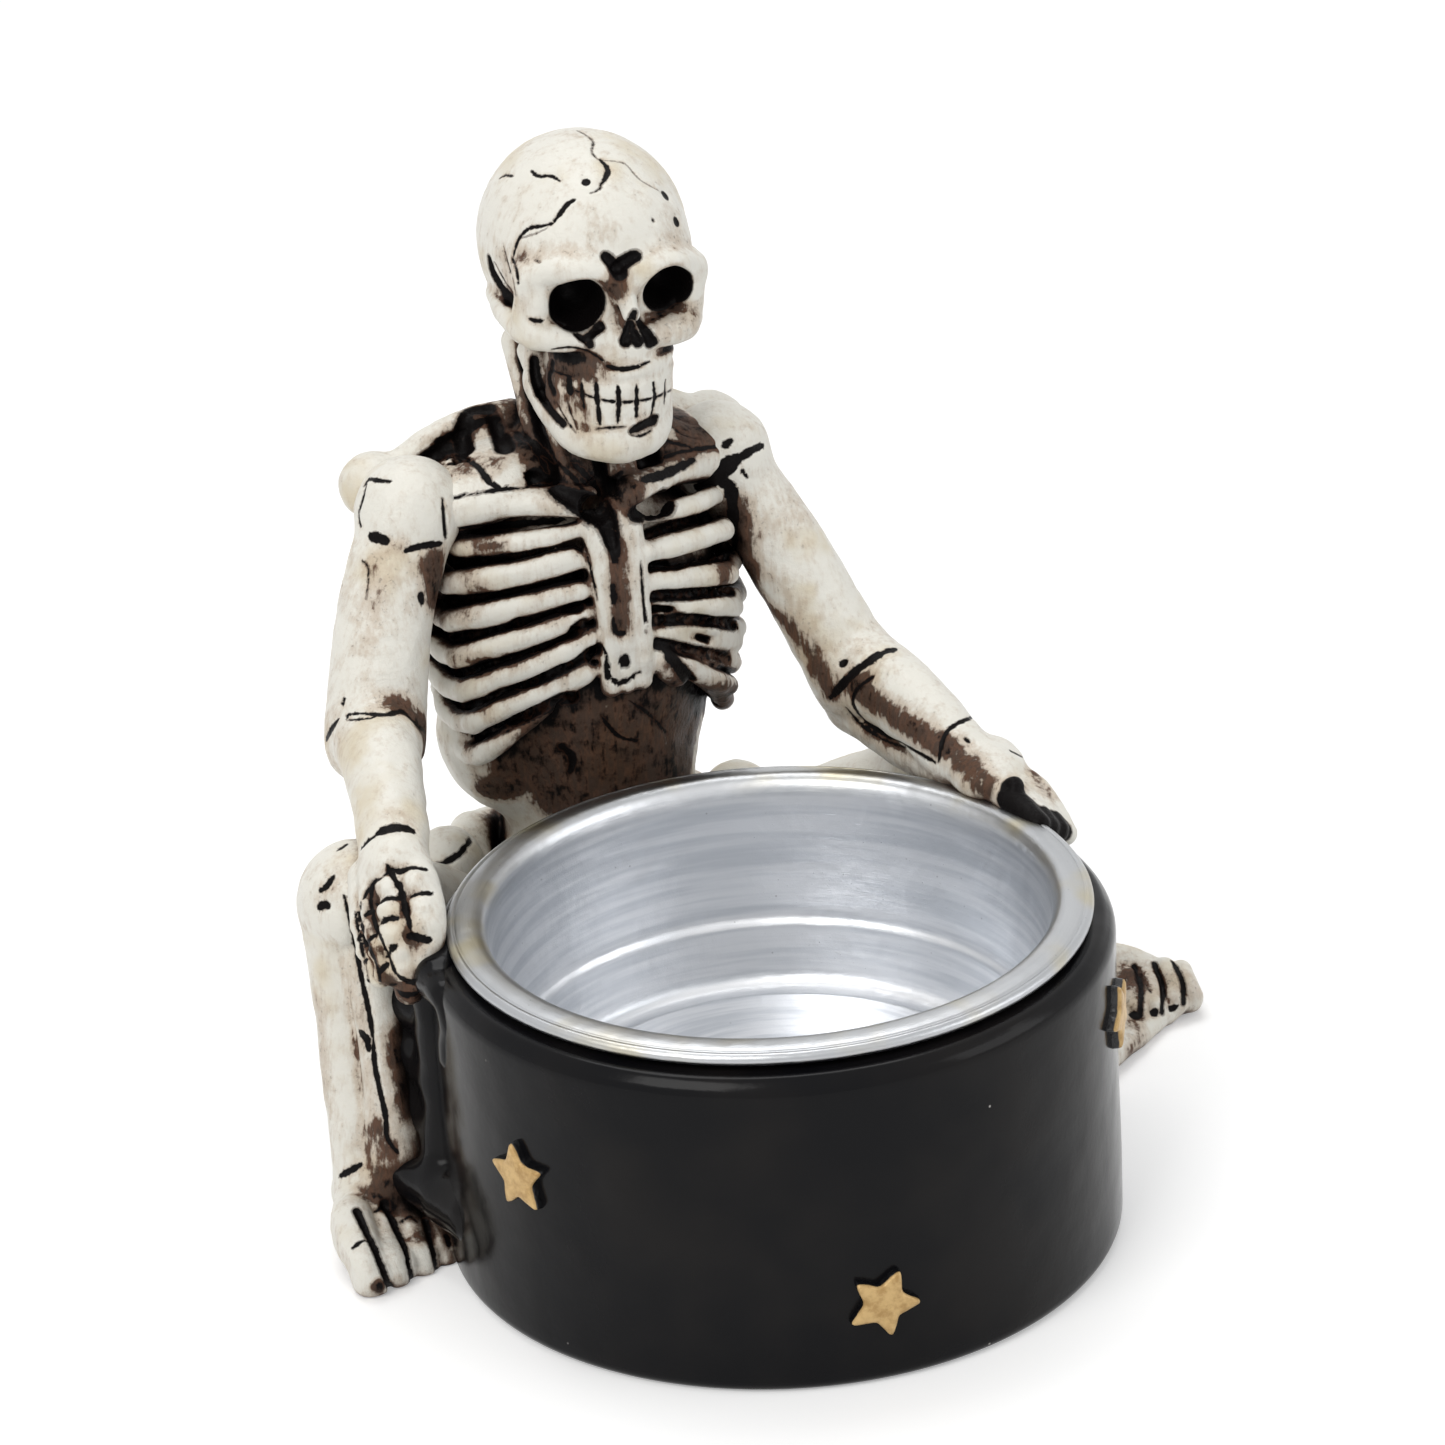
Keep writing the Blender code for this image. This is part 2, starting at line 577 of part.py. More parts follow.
def feet_forms(spot):
    """Both feet, and the webs of resin that hold them to the pot's wall."""
    near_heel = spot["near_ankle"] + mm(0.2, 2.4, 0.0)
    near_heel.z = 2.2 * MM
    near_toe = beside_pot(170.0, 2.6 * MM, 1.0 * MM)
    bm = foot(near_heel, near_toe, 1.0)
    far_heel = spot["far_ankle"] + mm(-1.0, 1.6, 0.0)
    far_heel.z = 2.2 * MM
    far_toe = beside_pot(18.2, 15.0 * MM, 1.0 * MM)
    join(bm, foot(far_heel, far_toe, -1.0))
    shin_foot = spot["near_ankle"] + mm(0.6, -3.0, 1.2)
    web = [shin_foot, beside_pot(170.0, -1.0 * MM, 6.0 * MM)]
    join(bm, tube(web, [3.0 * MM, 4.2 * MM]))
    for height in (9.0 * MM, 13.0 * MM, 17.0 * MM):
        rise = height / NEAR_KNEE_HEIGHT
        bone = between(spot["near_ankle"], spot["near_knee"], rise)
        join(bm, tube([bone, beside_pot(158.0, -1.5 * MM, height)], [1.6 * MM, 2.6 * MM]))
    wedge = [beside_pot(26.0, -2.0 * MM, 2.2 * MM), spot["far_ankle"] + mm(1.0, -3.0, -1.8)]
    join(bm, tube(wedge, [2.6 * MM, 2.6 * MM]))
    wedge = [beside_pot(10.0, -1.0 * MM, 1.8 * MM), beside_pot(19.6, 17.6 * MM, 0.6 * MM)]
    join(bm, tube(wedge, [1.8 * MM, 0.6 * MM]))
    wedge = [beside_pot(18.0, -1.0 * MM, 1.6 * MM), beside_pot(21.0, 15.5 * MM, 1.0 * MM)]
    join(bm, tube(wedge, [2.2 * MM, 1.2 * MM]))
    return bm


def arm(spot, name, side):
    """Shoulder ball, upper arm, and a forearm of two bones."""
    shoulder, elbow, wrist = (spot[name + end] for end in ("_shoulder", "_elbow", "_wrist"))
    bm = ball(shoulder, (4.0 * MM, 3.9 * MM, 3.9 * MM))
    middle = between(shoulder, elbow, 0.5) + mm(side * 0.6, 0.3, 0.0)
    shares = (0.95, 1.0, 1.06) if name == "near" else (0.92, 0.90, 0.92)
    join(bm, bent_tube([shoulder, middle, elbow], [UPPER_ARM_RADIUS * share for share in shares]))
    along = (wrist - elbow).normalized()
    down = (Vector((0.0, 0.0, -1.0)) + along * along.z).normalized()
    low = down * 0.30 * FOREARM_RADIUS
    upper = [elbow - low, between(elbow, wrist, 0.5) - low * 1.4, wrist]
    lower = [elbow + low * 2.2, between(elbow, wrist, 0.5) + low * 2.6, wrist + low * 1.6]
    shares = (1.08, 0.92, 0.78)
    join(bm, bent_tube(upper, [FOREARM_RADIUS * share for share in shares]))
    join(bm, bent_tube(lower, [FOREARM_RADIUS * 0.72, FOREARM_RADIUS * 0.56, FOREARM_RADIUS * 0.66]))
    return bm


def near_hand(spot):
    """The hand lies over the knee, and its fingers hang down beside the pot."""
    wrist, knee = spot["near_wrist"], spot["near_knee"]
    bm = bmesh.new()
    for number in range(4):
        share = number / 3
        start = wrist + mm(1.4 - 3.4 * share, -0.6, 0.2 - 0.5 * share)
        knuckle = knee + mm(4.6 - 4.8 * share, -7.6 + 0.6 * share, 3.6 - 1.2 * share)
        bend = knee + mm(4.0 - 3.6 * share, -10.4 + 0.9 * share, 0.4 - 1.6 * share)
        tip = knee + mm(3.2 - 2.6 * share, -10.6 + 1.6 * share, -3.4 - 2.4 * (1 - abs(share - 0.6)))
        radii = [FINGER_RADIUS * size for size in (1.8, 1.45, 1.25, 1.0)]
        join(bm, bent_tube([start, knuckle, bend, tip], radii, 10))
    palm = between(wrist, knee + mm(2.4, -7.4, 3.0), 0.6)
    join(bm, ball(palm, (3.2 * MM, 4.2 * MM, 2.2 * MM), Euler((math.radians(14.0), 0.0, 0.0))))
    touch = knee + mm(3.6, -10.0, 0.0)
    join(bm, tube([touch, beside_pot(166.0, -1.0 * MM, touch.z)], [1.6 * MM, 1.8 * MM]))
    return bm


def far_hand(spot):
    """The hand lies on the pot's rim, its fingers towards the front."""
    wrist = spot["far_wrist"]
    bm = bmesh.new()
    for number in range(4):
        share = number / 3
        gap = -2.2 * MM + 3.2 * MM * share
        knuckle = beside_pot(19.0 - 1.5 * share, gap + 0.3 * MM, POT_HEIGHT + 2.3 * MM - 1.2 * MM * share)
        tip = beside_pot(6.5 + 3.0 * share, gap + 0.4 * MM, POT_HEIGHT + 0.9 * MM - 2.2 * MM * share)
        start = wrist + mm(-0.9 + 2.0 * share, 0.2, 0.3 - 0.7 * share)
        radii = [FINGER_RADIUS * size for size in (1.9, 1.4, 1.0)]
        join(bm, bent_tube([start, knuckle, tip], radii, 10))
    palm = between(wrist, beside_pot(19.0, 0.2 * MM, POT_HEIGHT + 1.8 * MM), 0.5)
    join(bm, ball(palm, (2.9 * MM, 4.0 * MM, 2.0 * MM), Euler((0.0, 0.0, math.radians(-20.0)))))
    return bm


def from_bmesh(bm, name, home):
    mesh = bpy.data.meshes.new(name)
    bm.to_mesh(mesh)
    bm.free()
    return add_object(name, mesh, home)


def melt(obj):
    """Joins what overlaps in one object into one skin."""
    step = obj.modifiers.new("melt", "REMESH")
    step.mode = "VOXEL"
    step.voxel_size = VOXEL
    return replace_by_baked(obj)


def thin_out(obj, triangles):
    """Softens the voxel steps, and brings the skin down to this many triangles."""
    soft = obj.modifiers.new("soften", "SMOOTH")
    soft.factor = 0.5
    soft.iterations = SMOOTH_COUNT
    obj = replace_by_baked(obj)
    obj.data.calc_loop_triangles()
    step = obj.modifiers.new("thin", "DECIMATE")
    step.ratio = min(1.0, triangles / len(obj.data.loop_triangles))
    step.use_collapse_triangulate = True
    return replace_by_baked(obj)


def drop_crumbs(obj):
    """Keeps the largest connected skin, without the specks that thinning leaves."""
    bm = bmesh.new()
    bm.from_mesh(obj.data)
    left = set(bm.verts)
    skins = []
    while left:
        skin = {left.pop()}
        edge_of_skin = list(skin)
        while edge_of_skin:
            vert = edge_of_skin.pop()
            for edge in vert.link_edges:
                other = edge.other_vert(vert)
                if other in left:
                    left.remove(other)
                    skin.add(other)
                    edge_of_skin.append(other)
        skins.append(skin)
    skins.sort(key=len)
    for skin in skins[:-1]:
        bmesh.ops.delete(bm, geom=list(skin), context="VERTS")
    bm.to_mesh(obj.data)
    bm.free()
    return obj


def figure(home, cutters):
    """The whole skeleton as one skin, cut flat where it stands."""
    spot = places()
    head = from_bmesh(skull_forms(), "head", cutters)
    head = melt(head)
    # The hollows run into one another, which the exact solver takes for nothing left.
    hollows = from_bmesh(skull_hollows(), "hollows", cutters)
    head = boolean(head, hollows, "DIFFERENCE", "MANIFOLD")
    head.data.transform(skull_frame(spot))
    bm = bmesh.new()
    bm.from_mesh(head.data)
    bpy.data.objects.remove(head, do_unlink=True)
    for forms in (torso_forms, pelvis_forms, feet_forms, near_hand, far_hand):
        join(bm, forms(spot))
    for name, side in SIDES.items():
        join(bm, arm(spot, name, side))
    body = thin_out(melt(from_bmesh(bm, "figure_casting", home)), TRIANGLE_COUNT)
    floor = bmesh.new()
    bmesh.ops.create_cube(floor, size=1.0)
    reach = 20.0 * POT_RADIUS
    size = Matrix.Diagonal((reach, reach, GROUND, 1.0))
    bmesh.ops.transform(floor, matrix=Matrix.Translation((0.0, 0.0, -GROUND / 2)) @ size, verts=floor.verts)
    return boolean(body, from_bmesh(floor, "floor", cutters), "DIFFERENCE")


def cup(home):
    """A spun cup: rolled rim, a wall that steps in, and a floor with a raised middle."""
    top, bottom, step = cup_top(), cup_bottom(), cup_top() - CUP_STEP_DEPTH
    floor = bottom + CUP_WALL
    inner = [
        (0.0, floor + CUP_FLOOR_RISE),
        (CUP_FLOOR_RING, floor + CUP_FLOOR_RISE),
        (CUP_FLOOR_RING + CUP_FLOOR_RISE, floor),
        (CUP_FLOOR_RADIUS - CUP_CORNER, floor),
        (CUP_FLOOR_RADIUS, floor + CUP_CORNER),
        (CUP_STEP_RADIUS - 0.5 * CUP_WALL, step),
        (CUP_STEP_RADIUS, step + 0.5 * CUP_WALL),
        (CUP_MOUTH_RADIUS, top - 0.9 * CUP_RIM_ROLL),
        (CUP_MOUTH_RADIUS + 0.35 * CUP_RIM_ROLL, top - 0.25 * CUP_RIM_ROLL),
    ]
    outer = [
        (CUP_MOUTH_RADIUS + CUP_WALL, top - CUP_RIM_ROLL),
        (CUP_STEP_RADIUS + CUP_WALL, step),
        (CUP_FLOOR_RADIUS + CUP_WALL, bottom + CUP_CORNER),
        (CUP_FLOOR_RADIUS + CUP_WALL - CUP_CORNER, bottom),
        (0.0, bottom),
    ]
    rim = arc(CUP_RIM_RADIUS - CUP_RIM_ROLL, top, CUP_RIM_ROLL, 90, -90, 8)
    return turned(inner + rim + outer, "candle_cup", home)


def build():
    clear_scene()
    home = collection("skeleton_candle_holder", False)
    cutters = collection("cutters", True)
    casting = figure(home, cutters)
    pot = turned(pot_profile(), "pot", cutters)
    for angle, height, turn in zip(STAR_ANGLES, STAR_HEIGHTS, STAR_TURNS):
        pot = boolean(pot, star(angle, height, turn, cutters), "UNION")
    casting = boolean(casting, pot, "UNION")
    cup_space = turned(cup_space_profile(), "cup_space", cutters)
    casting = drop_crumbs(boolean(casting, cup_space, "DIFFERENCE"))
    candle_cup = cup(home)
    for obj, look in (
        (casting, material("painted_resin", BONE, 0.35, 0.0)),
        (candle_cup, material("spun_aluminium", ALUMINIUM, 0.35, 1.0)),
    ):
        obj.data.materials.clear()
        obj.data.materials.append(look)
        obj.data.shade_smooth()
        obj.data.set_sharp_from_angle(angle=math.radians(35.0))


build()
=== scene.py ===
"""Skeleton candle holder, dressed: sculpted bone figure, gloss black pot, gold stars, spun cup.

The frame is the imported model's: metres, the pot's axis on Z, the figure behind it at +Y. Shapes
are written in millimetres. The picture's left is at -X and is called near; +X is called far.
"""

import json
import math

import bmesh
import bpy
import numpy as np
from bpy.props import (
    FloatProperty,
    FloatVectorProperty,
    IntProperty,
    PointerProperty,
)
from mathutils import Euler, Matrix, Vector

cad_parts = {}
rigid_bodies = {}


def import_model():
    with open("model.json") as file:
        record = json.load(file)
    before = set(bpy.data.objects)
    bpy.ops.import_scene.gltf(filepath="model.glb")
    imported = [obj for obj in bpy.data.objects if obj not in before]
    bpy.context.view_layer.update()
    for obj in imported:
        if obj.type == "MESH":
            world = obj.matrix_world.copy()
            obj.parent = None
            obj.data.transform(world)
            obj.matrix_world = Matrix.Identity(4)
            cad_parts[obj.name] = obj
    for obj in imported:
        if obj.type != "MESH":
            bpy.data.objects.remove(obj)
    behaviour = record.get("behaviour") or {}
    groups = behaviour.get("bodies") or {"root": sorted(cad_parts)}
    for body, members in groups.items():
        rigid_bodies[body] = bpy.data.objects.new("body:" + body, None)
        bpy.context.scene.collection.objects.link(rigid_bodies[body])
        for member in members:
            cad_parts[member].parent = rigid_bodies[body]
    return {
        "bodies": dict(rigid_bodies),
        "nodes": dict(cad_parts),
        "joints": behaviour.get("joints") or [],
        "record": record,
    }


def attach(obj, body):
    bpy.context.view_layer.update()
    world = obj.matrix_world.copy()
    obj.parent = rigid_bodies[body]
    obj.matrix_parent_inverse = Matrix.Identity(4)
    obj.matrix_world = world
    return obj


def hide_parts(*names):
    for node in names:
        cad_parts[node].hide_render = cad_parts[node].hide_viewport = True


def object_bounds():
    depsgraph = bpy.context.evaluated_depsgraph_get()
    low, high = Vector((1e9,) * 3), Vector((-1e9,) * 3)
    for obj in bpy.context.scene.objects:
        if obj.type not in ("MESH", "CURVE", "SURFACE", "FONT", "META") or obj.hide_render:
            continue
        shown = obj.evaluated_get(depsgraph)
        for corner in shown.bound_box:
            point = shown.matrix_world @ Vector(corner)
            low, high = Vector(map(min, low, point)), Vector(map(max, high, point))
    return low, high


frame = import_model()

bl_info = {
    "name": "Skeleton Candle Holder",
    "version": (1, 0, 0),
    "blender": (4, 5, 0),
    "location": "View3D > Sidebar > Candle Holder",
    "description": "Sculpts and paints a seated skeleton that holds a round candle pot",
    "category": "Object",
}

CAD_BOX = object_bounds()
MM = 0.001
# What a block of clay holds where there is no form near.
EMPTY = 3.0
# A shell with fewer points than this is a speck, and is left out.
SMALLEST_SHELL = 500
# A longer step than this along a line of the picture is a jump in depth.
LONGEST_STEP = 2.2
# How far every piece of the figure stays inside the solids' box, and above the floor.
INSET = 0.02
POT_RADIUS = 24.5

# The camera: its film's width, and the picture's width in pixels that places are read from.
EYE = (-132.864, -322.015, 199.929)
FORWARD = (0.34038777, 0.8424893, -0.41754992)
UP = (0.20969, 0.36487055, 0.90713813)
LENS = 136.8
FILM = 36.0
PICTURE = 1445.0

# The figure's joints, where the solids have them.
HIP = (0.0, 36.0, 9.0)
CHEST = (0.0, 33.6, 36.0)
SKULL = (2.1, 33.6, 64.8)
NEAR = {
    "shoulder": (-13.2, 33.0, 46.8),
    "elbow": (-19.4, 26.9, 32.1),
    "wrist": (-22.3, 15.8, 30.0),
    "knee": (-24.9, 17.4, 24.6),
    "ankle": (-26.6, 12.4, 4.8),
}
FAR_SIDE = {
    "shoulder": (11.4, 33.0, 46.2),
    "elbow": (18.3, 24.8, 29.2),
    "wrist": (21.0, 12.6, 27.2),
    "knee": (23.6, 22.4, 20.5),
    "ankle": (30.6, 20.3, 4.4),
}

# Tables of what the picture shows, each row ending with places of the picture. A line has its
# width and how black it is; a hollow, a toe or a bone has the radius at each end; a stain has
# its radius and strength; a knuckle has its radius.
SKULL_LINES = (
    (0.20, 0.7, ((577, 130), (585, 134), (593, 141), (592, 152), (600, 160))),
    (0.36, 1.0, ((600, 159), (606, 165), (608, 171), (605, 178), (601, 184))),
    (0.20, 0.7, ((601, 183), (599, 189), (590, 193))),
    (0.5, 1.0, ((585, 181), (587, 182))),
    (0.26, 1.0, ((531, 170), (536, 175), (545, 176))),
    (0.22, 1.0, ((543, 176), (552, 176), (560, 181))),
    (0.22, 0.8, ((499, 178), (505, 175), (513, 176))),
    (0.34, 1.0, ((575, 199), (567, 204), (560, 213), (552, 223))),
    (0.26, 1.0, ((553, 223), (541, 226), (529, 228), (520, 236), (515, 247), (512, 260))),
    (0.26, 0.9, ((512, 259), (516, 270), (518, 284))),
    (0.16, 0.6, ((601, 160), (624, 163), (640, 179), (664, 193))),
    (0.70, 1.0, ((665, 194), (667, 196))),
    (0.60, 0.9, ((676, 221), (678, 222))),
    (0.26, 0.6, ((653, 219), (654, 221))),
    (0.26, 1.0, ((529, 319), (536, 321), (543, 321))),
    (0.20, 0.8, ((534, 259), (540, 262))),
    (0.30, 1.0, ((607, 366), (620, 368), (634, 367), (650, 361))),
    (
        0.24,
        1.0,
        ((562, 385), (575, 391), (597, 399), (620, 402.5), (640, 401), (657, 397), (672, 390)),
    ),
    (0.50, 1.0, ((568, 377), (569, 386), (570, 394))),
    (0.26, 1.0, ((581, 382), (582, 395), (584, 410))),
    (0.34, 1.0, ((596, 382), (597, 398), (600, 425))),
    (0.36, 1.0, ((618, 386), (619, 402), (618, 423))),
    (0.34, 1.0, ((637, 385), (637, 401), (637, 418))),
    (0.30, 1.0, ((654, 382), (655, 398), (652, 416))),
    (0.26, 0.9, ((666, 380), (665, 404))),
    (0.22, 0.8, ((597, 429), (612, 428), (626, 427))),
    (0.24, 0.7, ((503, 246), (507, 262), (512, 280), (515, 296))),
    (0.20, 0.7, ((494, 262), (504, 281), (516, 298))),
    (0.16, 0.6, ((521, 238), (536, 233), (547, 228))),
    (0.24, 0.9, ((552, 350), (570, 348), (588, 352), (605, 362))),
    (0.34, 0.9, ((607, 366), (622, 369), (640, 366))),
    (0.20, 0.8, ((545, 366), (556, 372), (572, 377))),
    (0.16, 0.8, ((566, 396), (570, 412), (577, 428))),
    (0.16, 0.8, ((556, 402), (566, 420), (576, 433))),
    (0.22, 0.8, ((630, 434), (640, 436), (652, 430))),
)
SKULL_HOLLOWS = (
    (0.30, 0.50, ((489, 260), (493, 274), (502, 289), (517, 305))),
    (0.30, 0.50, ((606, 257), (613, 264), (620, 273))),
    (0.50, 0.35, ((617, 268), (626, 261), (635, 256))),
    (0.16, 0.34, ((632, 431), (641, 426), (655, 420))),
    (0.18, 0.40, ((635, 313), (630, 326), (626, 341))),
    (0.18, 0.42, ((636, 315), (643, 328), (651, 342))),
    (0.34, 0.34, ((633, 334), (638, 342))),
    (0.36, 0.22, ((599, 327), (589, 336), (590, 346))),
    (0.22, 0.26, ((577, 334), (585, 339))),
    (0.26, 0.42, ((534, 360), (536, 378), (541, 392))),
    (0.34, 0.20, ((541, 391), (549, 408), (563, 424))),
    (0.16, 0.24, ((553, 362), (549, 378), (553, 392))),
)


def point(*xyz):
    return np.array(xyz, float)


def mixed(a, b, share):
    """A place this share of the way from a to b."""
    return np.array(a, float) * (1.0 - share) + np.array(b, float) * share


def sight(spots):
    """Directions from the camera through places of the picture."""
    spots = (np.array(spots, float) - 0.5 * PICTURE) / (PICTURE * LENS / FILM)
    forward, up = point(*FORWARD), point(*UP)
    ways = forward + spots[:, :1] * np.cross(forward, up) - spots[:, 1:] * up
    return ways / np.linalg.norm(ways, axis=1, keepdims=True)


def smooth_path(corners, count):
    """Evenly numbered points on a smooth curve through the corners."""
    corners = np.array(corners, float)
    spans = len(corners) - 1
    found = []
    for at in np.linspace(0.0, spans, count):
        k = min(int(at), spans - 1)
        t = at - k
        a, b = corners[k], corners[k + 1]
        slope_a = (b - corners[max(k - 1, 0)]) * 0.5
        slope_b = (corners[min(k + 2, spans)] - a) * 0.5
        found.append(
            a * (2 * t**3 - 3 * t**2 + 1)
            + b * (3 * t**2 - 2 * t**3)
            + slope_a * (t**3 - 2 * t**2 + t)
            + slope_b * (t**3 - t**2)
        )
    return np.array(found)


class Ball:
    """An ellipsoid, its radii along its own axes, turned by degrees about X, Y and Z."""

    def __init__(self, centre, radii, turn=(0, 0, 0)):
        self.centre = np.array(centre, float)
        self.radii = np.array(radii, float)
        self.turn = np.array(Euler([math.radians(a) for a in turn]).to_matrix())
        reach = np.sqrt(((self.turn * self.radii) ** 2).sum(axis=1))
        self.low, self.high = self.centre - reach, self.centre + reach

    def distance(self, x, y, z):
        x, y, z = x - self.centre[0], y - self.centre[1], z - self.centre[2]
        near = 0.0
        steep = 0.0
        for axis, radius in zip(self.turn.T, self.radii):
            along = (x * axis[0] + y * axis[1] + z * axis[2]) / radius
            near = near + along**2
            steep = steep + (along / radius) ** 2
        near = np.sqrt(near)
        return near * (near - 1.0) / np.sqrt(np.maximum(steep, 1e-9))


class Bar:
    """A bar through the points with a radius at each; press flattens it along a direction."""

    def __init__(self, points, radii, count=10, press=None):
        if count:
            line = np.column_stack([np.array(points, float), np.array(radii, float)])
            line = smooth_path(line, count)
            self.points, self.radii = line[:, :3], np.maximum(line[:, 3], 0.05)
        else:
            self.points, self.radii = np.array(points, float), np.array(radii, float)
        self.press = press
        reach = self.radii.max()
        self.low, self.high = self.points.min(axis=0) - reach, self.points.max(axis=0) + reach

    def distance(self, x, y, z):
        best = None
        for a, b, radius_a, radius_b in zip(
            self.points, self.points[1:], self.radii, self.radii[1:]
        ):
            way = b - a
            length = max(float(way @ way), 1e-9)
            px, py, pz = x - a[0], y - a[1], z - a[2]
            t = np.clip((px * way[0] + py * way[1] + pz * way[2]) / length, 0.0, 1.0)
            px, py, pz = px - t * way[0], py - t * way[1], pz - t * way[2]
            square = px * px + py * py + pz * pz
            if self.press is not None:
                (nx, ny, nz), times = self.press
                square = square + (times * times - 1.0) * (px * nx + py * ny + pz * nz) ** 2
            found = np.sqrt(square) - (radius_a + (radius_b - radius_a) * t)
            best = found if best is None else np.minimum(best, found)
        return best


def melted(a, b, blend):
    """The nearer of two distances, rounded where they meet."""
    if blend <= 0.0:
        return np.minimum(a, b)
    share = np.clip(0.5 + 0.5 * (b - a) / blend, 0.0, 1.0)
    return b + (a - b) * share - blend * share * (1.0 - share)


class Clay:
    """A block of distances to one surface, in millimetres, that forms are added to and cut from."""

    def __init__(self, low, high, step):
        self.low = np.array(low, float)
        self.step = step
        count = np.ceil((np.array(high) - self.low) / step).astype(int) + 1
        self.distance = np.full(count, EMPTY, np.float32)

    def window(self, low, high):
        room = self.distance.shape
        start = np.clip(np.floor((low - self.low) / self.step).astype(int), 0, room)
        stop = np.clip(np.ceil((high - self.low) / self.step).astype(int) + 1, start, room)
        lines = [
            (self.low[i] + self.step * np.arange(start[i], stop[i])).astype(np.float32)
            for i in range(3)
        ]
        part = tuple(slice(a, b) for a, b in zip(start, stop))
        return part, np.meshgrid(*lines, indexing="ij", sparse=True)

    def add(self, form, blend=0.5):
        reach = blend + 1.7
        part, (x, y, z) = self.window(form.low - reach, form.high + reach)
        found = form.distance(x, y, z).astype(np.float32)
        self.distance[part] = melted(self.distance[part], found, blend)

    def cut(self, form, blend=0.25):
        reach = blend + 0.6
        part, (x, y, z) = self.window(form.low - reach, form.high + reach)
        found = form.distance(x, y, z).astype(np.float32)
        self.distance[part] = -melted(-self.distance[part], found, blend)

    def emboss(self, form, depth, soft=0.35):
        """Presses the surface in under a form, by depth, or raises it where depth is below 0."""
        part, (x, y, z) = self.window(form.low - soft, form.high + soft)
        found = form.distance(x, y, z).astype(np.float32)
        self.distance[part] += depth * np.clip(0.5 - found / (2.0 * soft), 0.0, 1.0)

    def ripple(self, size, depth, seed):
        """Uneven hand-cast surface: smooth random bumps of this size and depth."""
        shape = self.distance.shape
        noise = np.random.default_rng(seed)
        spans = [max(int(n * self.step / size) + 2, 3) for n in shape]
        bumps = noise.standard_normal(spans).astype(np.float32)
        for axis, (count, span) in enumerate(zip(shape, spans)):
            at = np.arange(count) * self.step / size
            k = np.minimum(at.astype(int), span - 2)
            t = at - k
            t = (t * t * (3.0 - 2.0 * t)).astype(np.float32)
            shape_t = [1, 1, 1]
            shape_t[axis] = count
            t = t.reshape(shape_t)
            bumps = np.take(bumps, k, axis) * (1.0 - t) + np.take(bumps, k + 1, axis) * t
        self.distance += depth * bumps

    def stand(self):
        """Cuts off what is below the floor."""
        height = self.low[2] + self.step * np.arange(self.distance.shape[2])
        below = np.float32(INSET) - height.astype(np.float32)
        self.distance = np.maximum(self.distance, below)

    def at(self, places):
        """Distances at any places, read between the block's points."""
        spot = (places - self.low) / self.step
        most = np.array(self.distance.shape) - 2
        k = np.clip(np.floor(spot).astype(int), 0, most)
        t = np.clip(spot - k, 0.0, 1.0)
        total = np.zeros(len(places))
        for corner in np.ndindex(2, 2, 2):
            weight = np.prod(np.where(corner, t, 1.0 - t), axis=1)
            total += weight * self.distance[tuple((k + corner).T)]
        return total

    def skin(self):
        """Points and quads of the surface: one point in each cell that it crosses."""
        solid = self.distance < 0.0
        cells_in = np.array(solid.shape) - 1
        count = np.zeros(cells_in, np.uint8)
        for i, j, k in np.ndindex(2, 2, 2):
            count += solid[i : i + cells_in[0], j : j + cells_in[1], k : k + cells_in[2]]
        crossed = (count > 0) & (count < 8)
        cells = np.argwhere(crossed)
        index = np.full(crossed.shape, -1, np.int64)
        index[crossed] = np.arange(len(cells))
        total = np.zeros((len(cells), 3))
        hits = np.zeros(len(cells))
        for axis in range(3):
            ahead = np.eye(3, dtype=int)[axis]
            for corner in np.ndindex(2, 2, 2):
                if corner[axis]:
                    continue
                a = self.distance[tuple((cells + corner).T)]
                b = self.distance[tuple((cells + corner + ahead).T)]
                meets = (a < 0.0) != (b < 0.0)
                share = np.where(meets, a / np.where(meets, a - b, 1.0), 0.0)
                total += meets[:, None] * (np.array(corner) + share[:, None] * ahead)
                hits += meets
        points = self.low + self.step * (cells + total / hits[:, None])
        quads = []
        for axis in range(3):
            ahead, u, v = (np.eye(3, dtype=int)[(axis + n) % 3] for n in range(3))
            inner = [slice(1, -1)] * 3
            inner[axis] = slice(0, -1)
            next_one = list(inner)
            next_one[axis] = slice(1, None)
            first, second = solid[tuple(inner)], solid[tuple(next_one)]
            start = 1 - ahead
            edges = np.argwhere(first != second) + start
            ring = [edges, edges - u, edges - u - v, edges - v]
            quad = np.column_stack([index[tuple(cell.T)] for cell in ring])
            away = solid[tuple(edges.T)]
            quads.append(np.where(away[:, None], quad, quad[:, ::-1]))
        return points, np.concatenate(quads)


def main_shells(points, quads):
    """The surface without the specks that lie apart from it."""
    label = np.arange(len(points))
    while True:
        least = label[quads].min(axis=1)
        lower = label.copy()
        np.minimum.at(lower, quads.ravel(), np.repeat(least, 4))
        lower = lower[lower]
        if (lower == label).all():
            break
        label = lower
    kept = np.bincount(label, minlength=len(points))[label] > SMALLEST_SHELL
    index = np.cumsum(kept) - 1
    return points[kept], index[quads[kept[quads[:, 0]]]]


def relaxed(points, quads):
    """Evens out the points a little, each towards the middle of its neighbours."""
    ends = np.concatenate([quads[:, pair] for pair in ([0, 1], [1, 2], [2, 3], [3, 0])])
    count = np.bincount(ends[:, 0], minlength=len(points))[:, None]
    total = np.column_stack(
        [np.bincount(ends[:, 0], points[ends[:, 1], i], len(points)) for i in range(3)]
    )
    return points + 0.5 * (total / np.maximum(count, 1) - points)


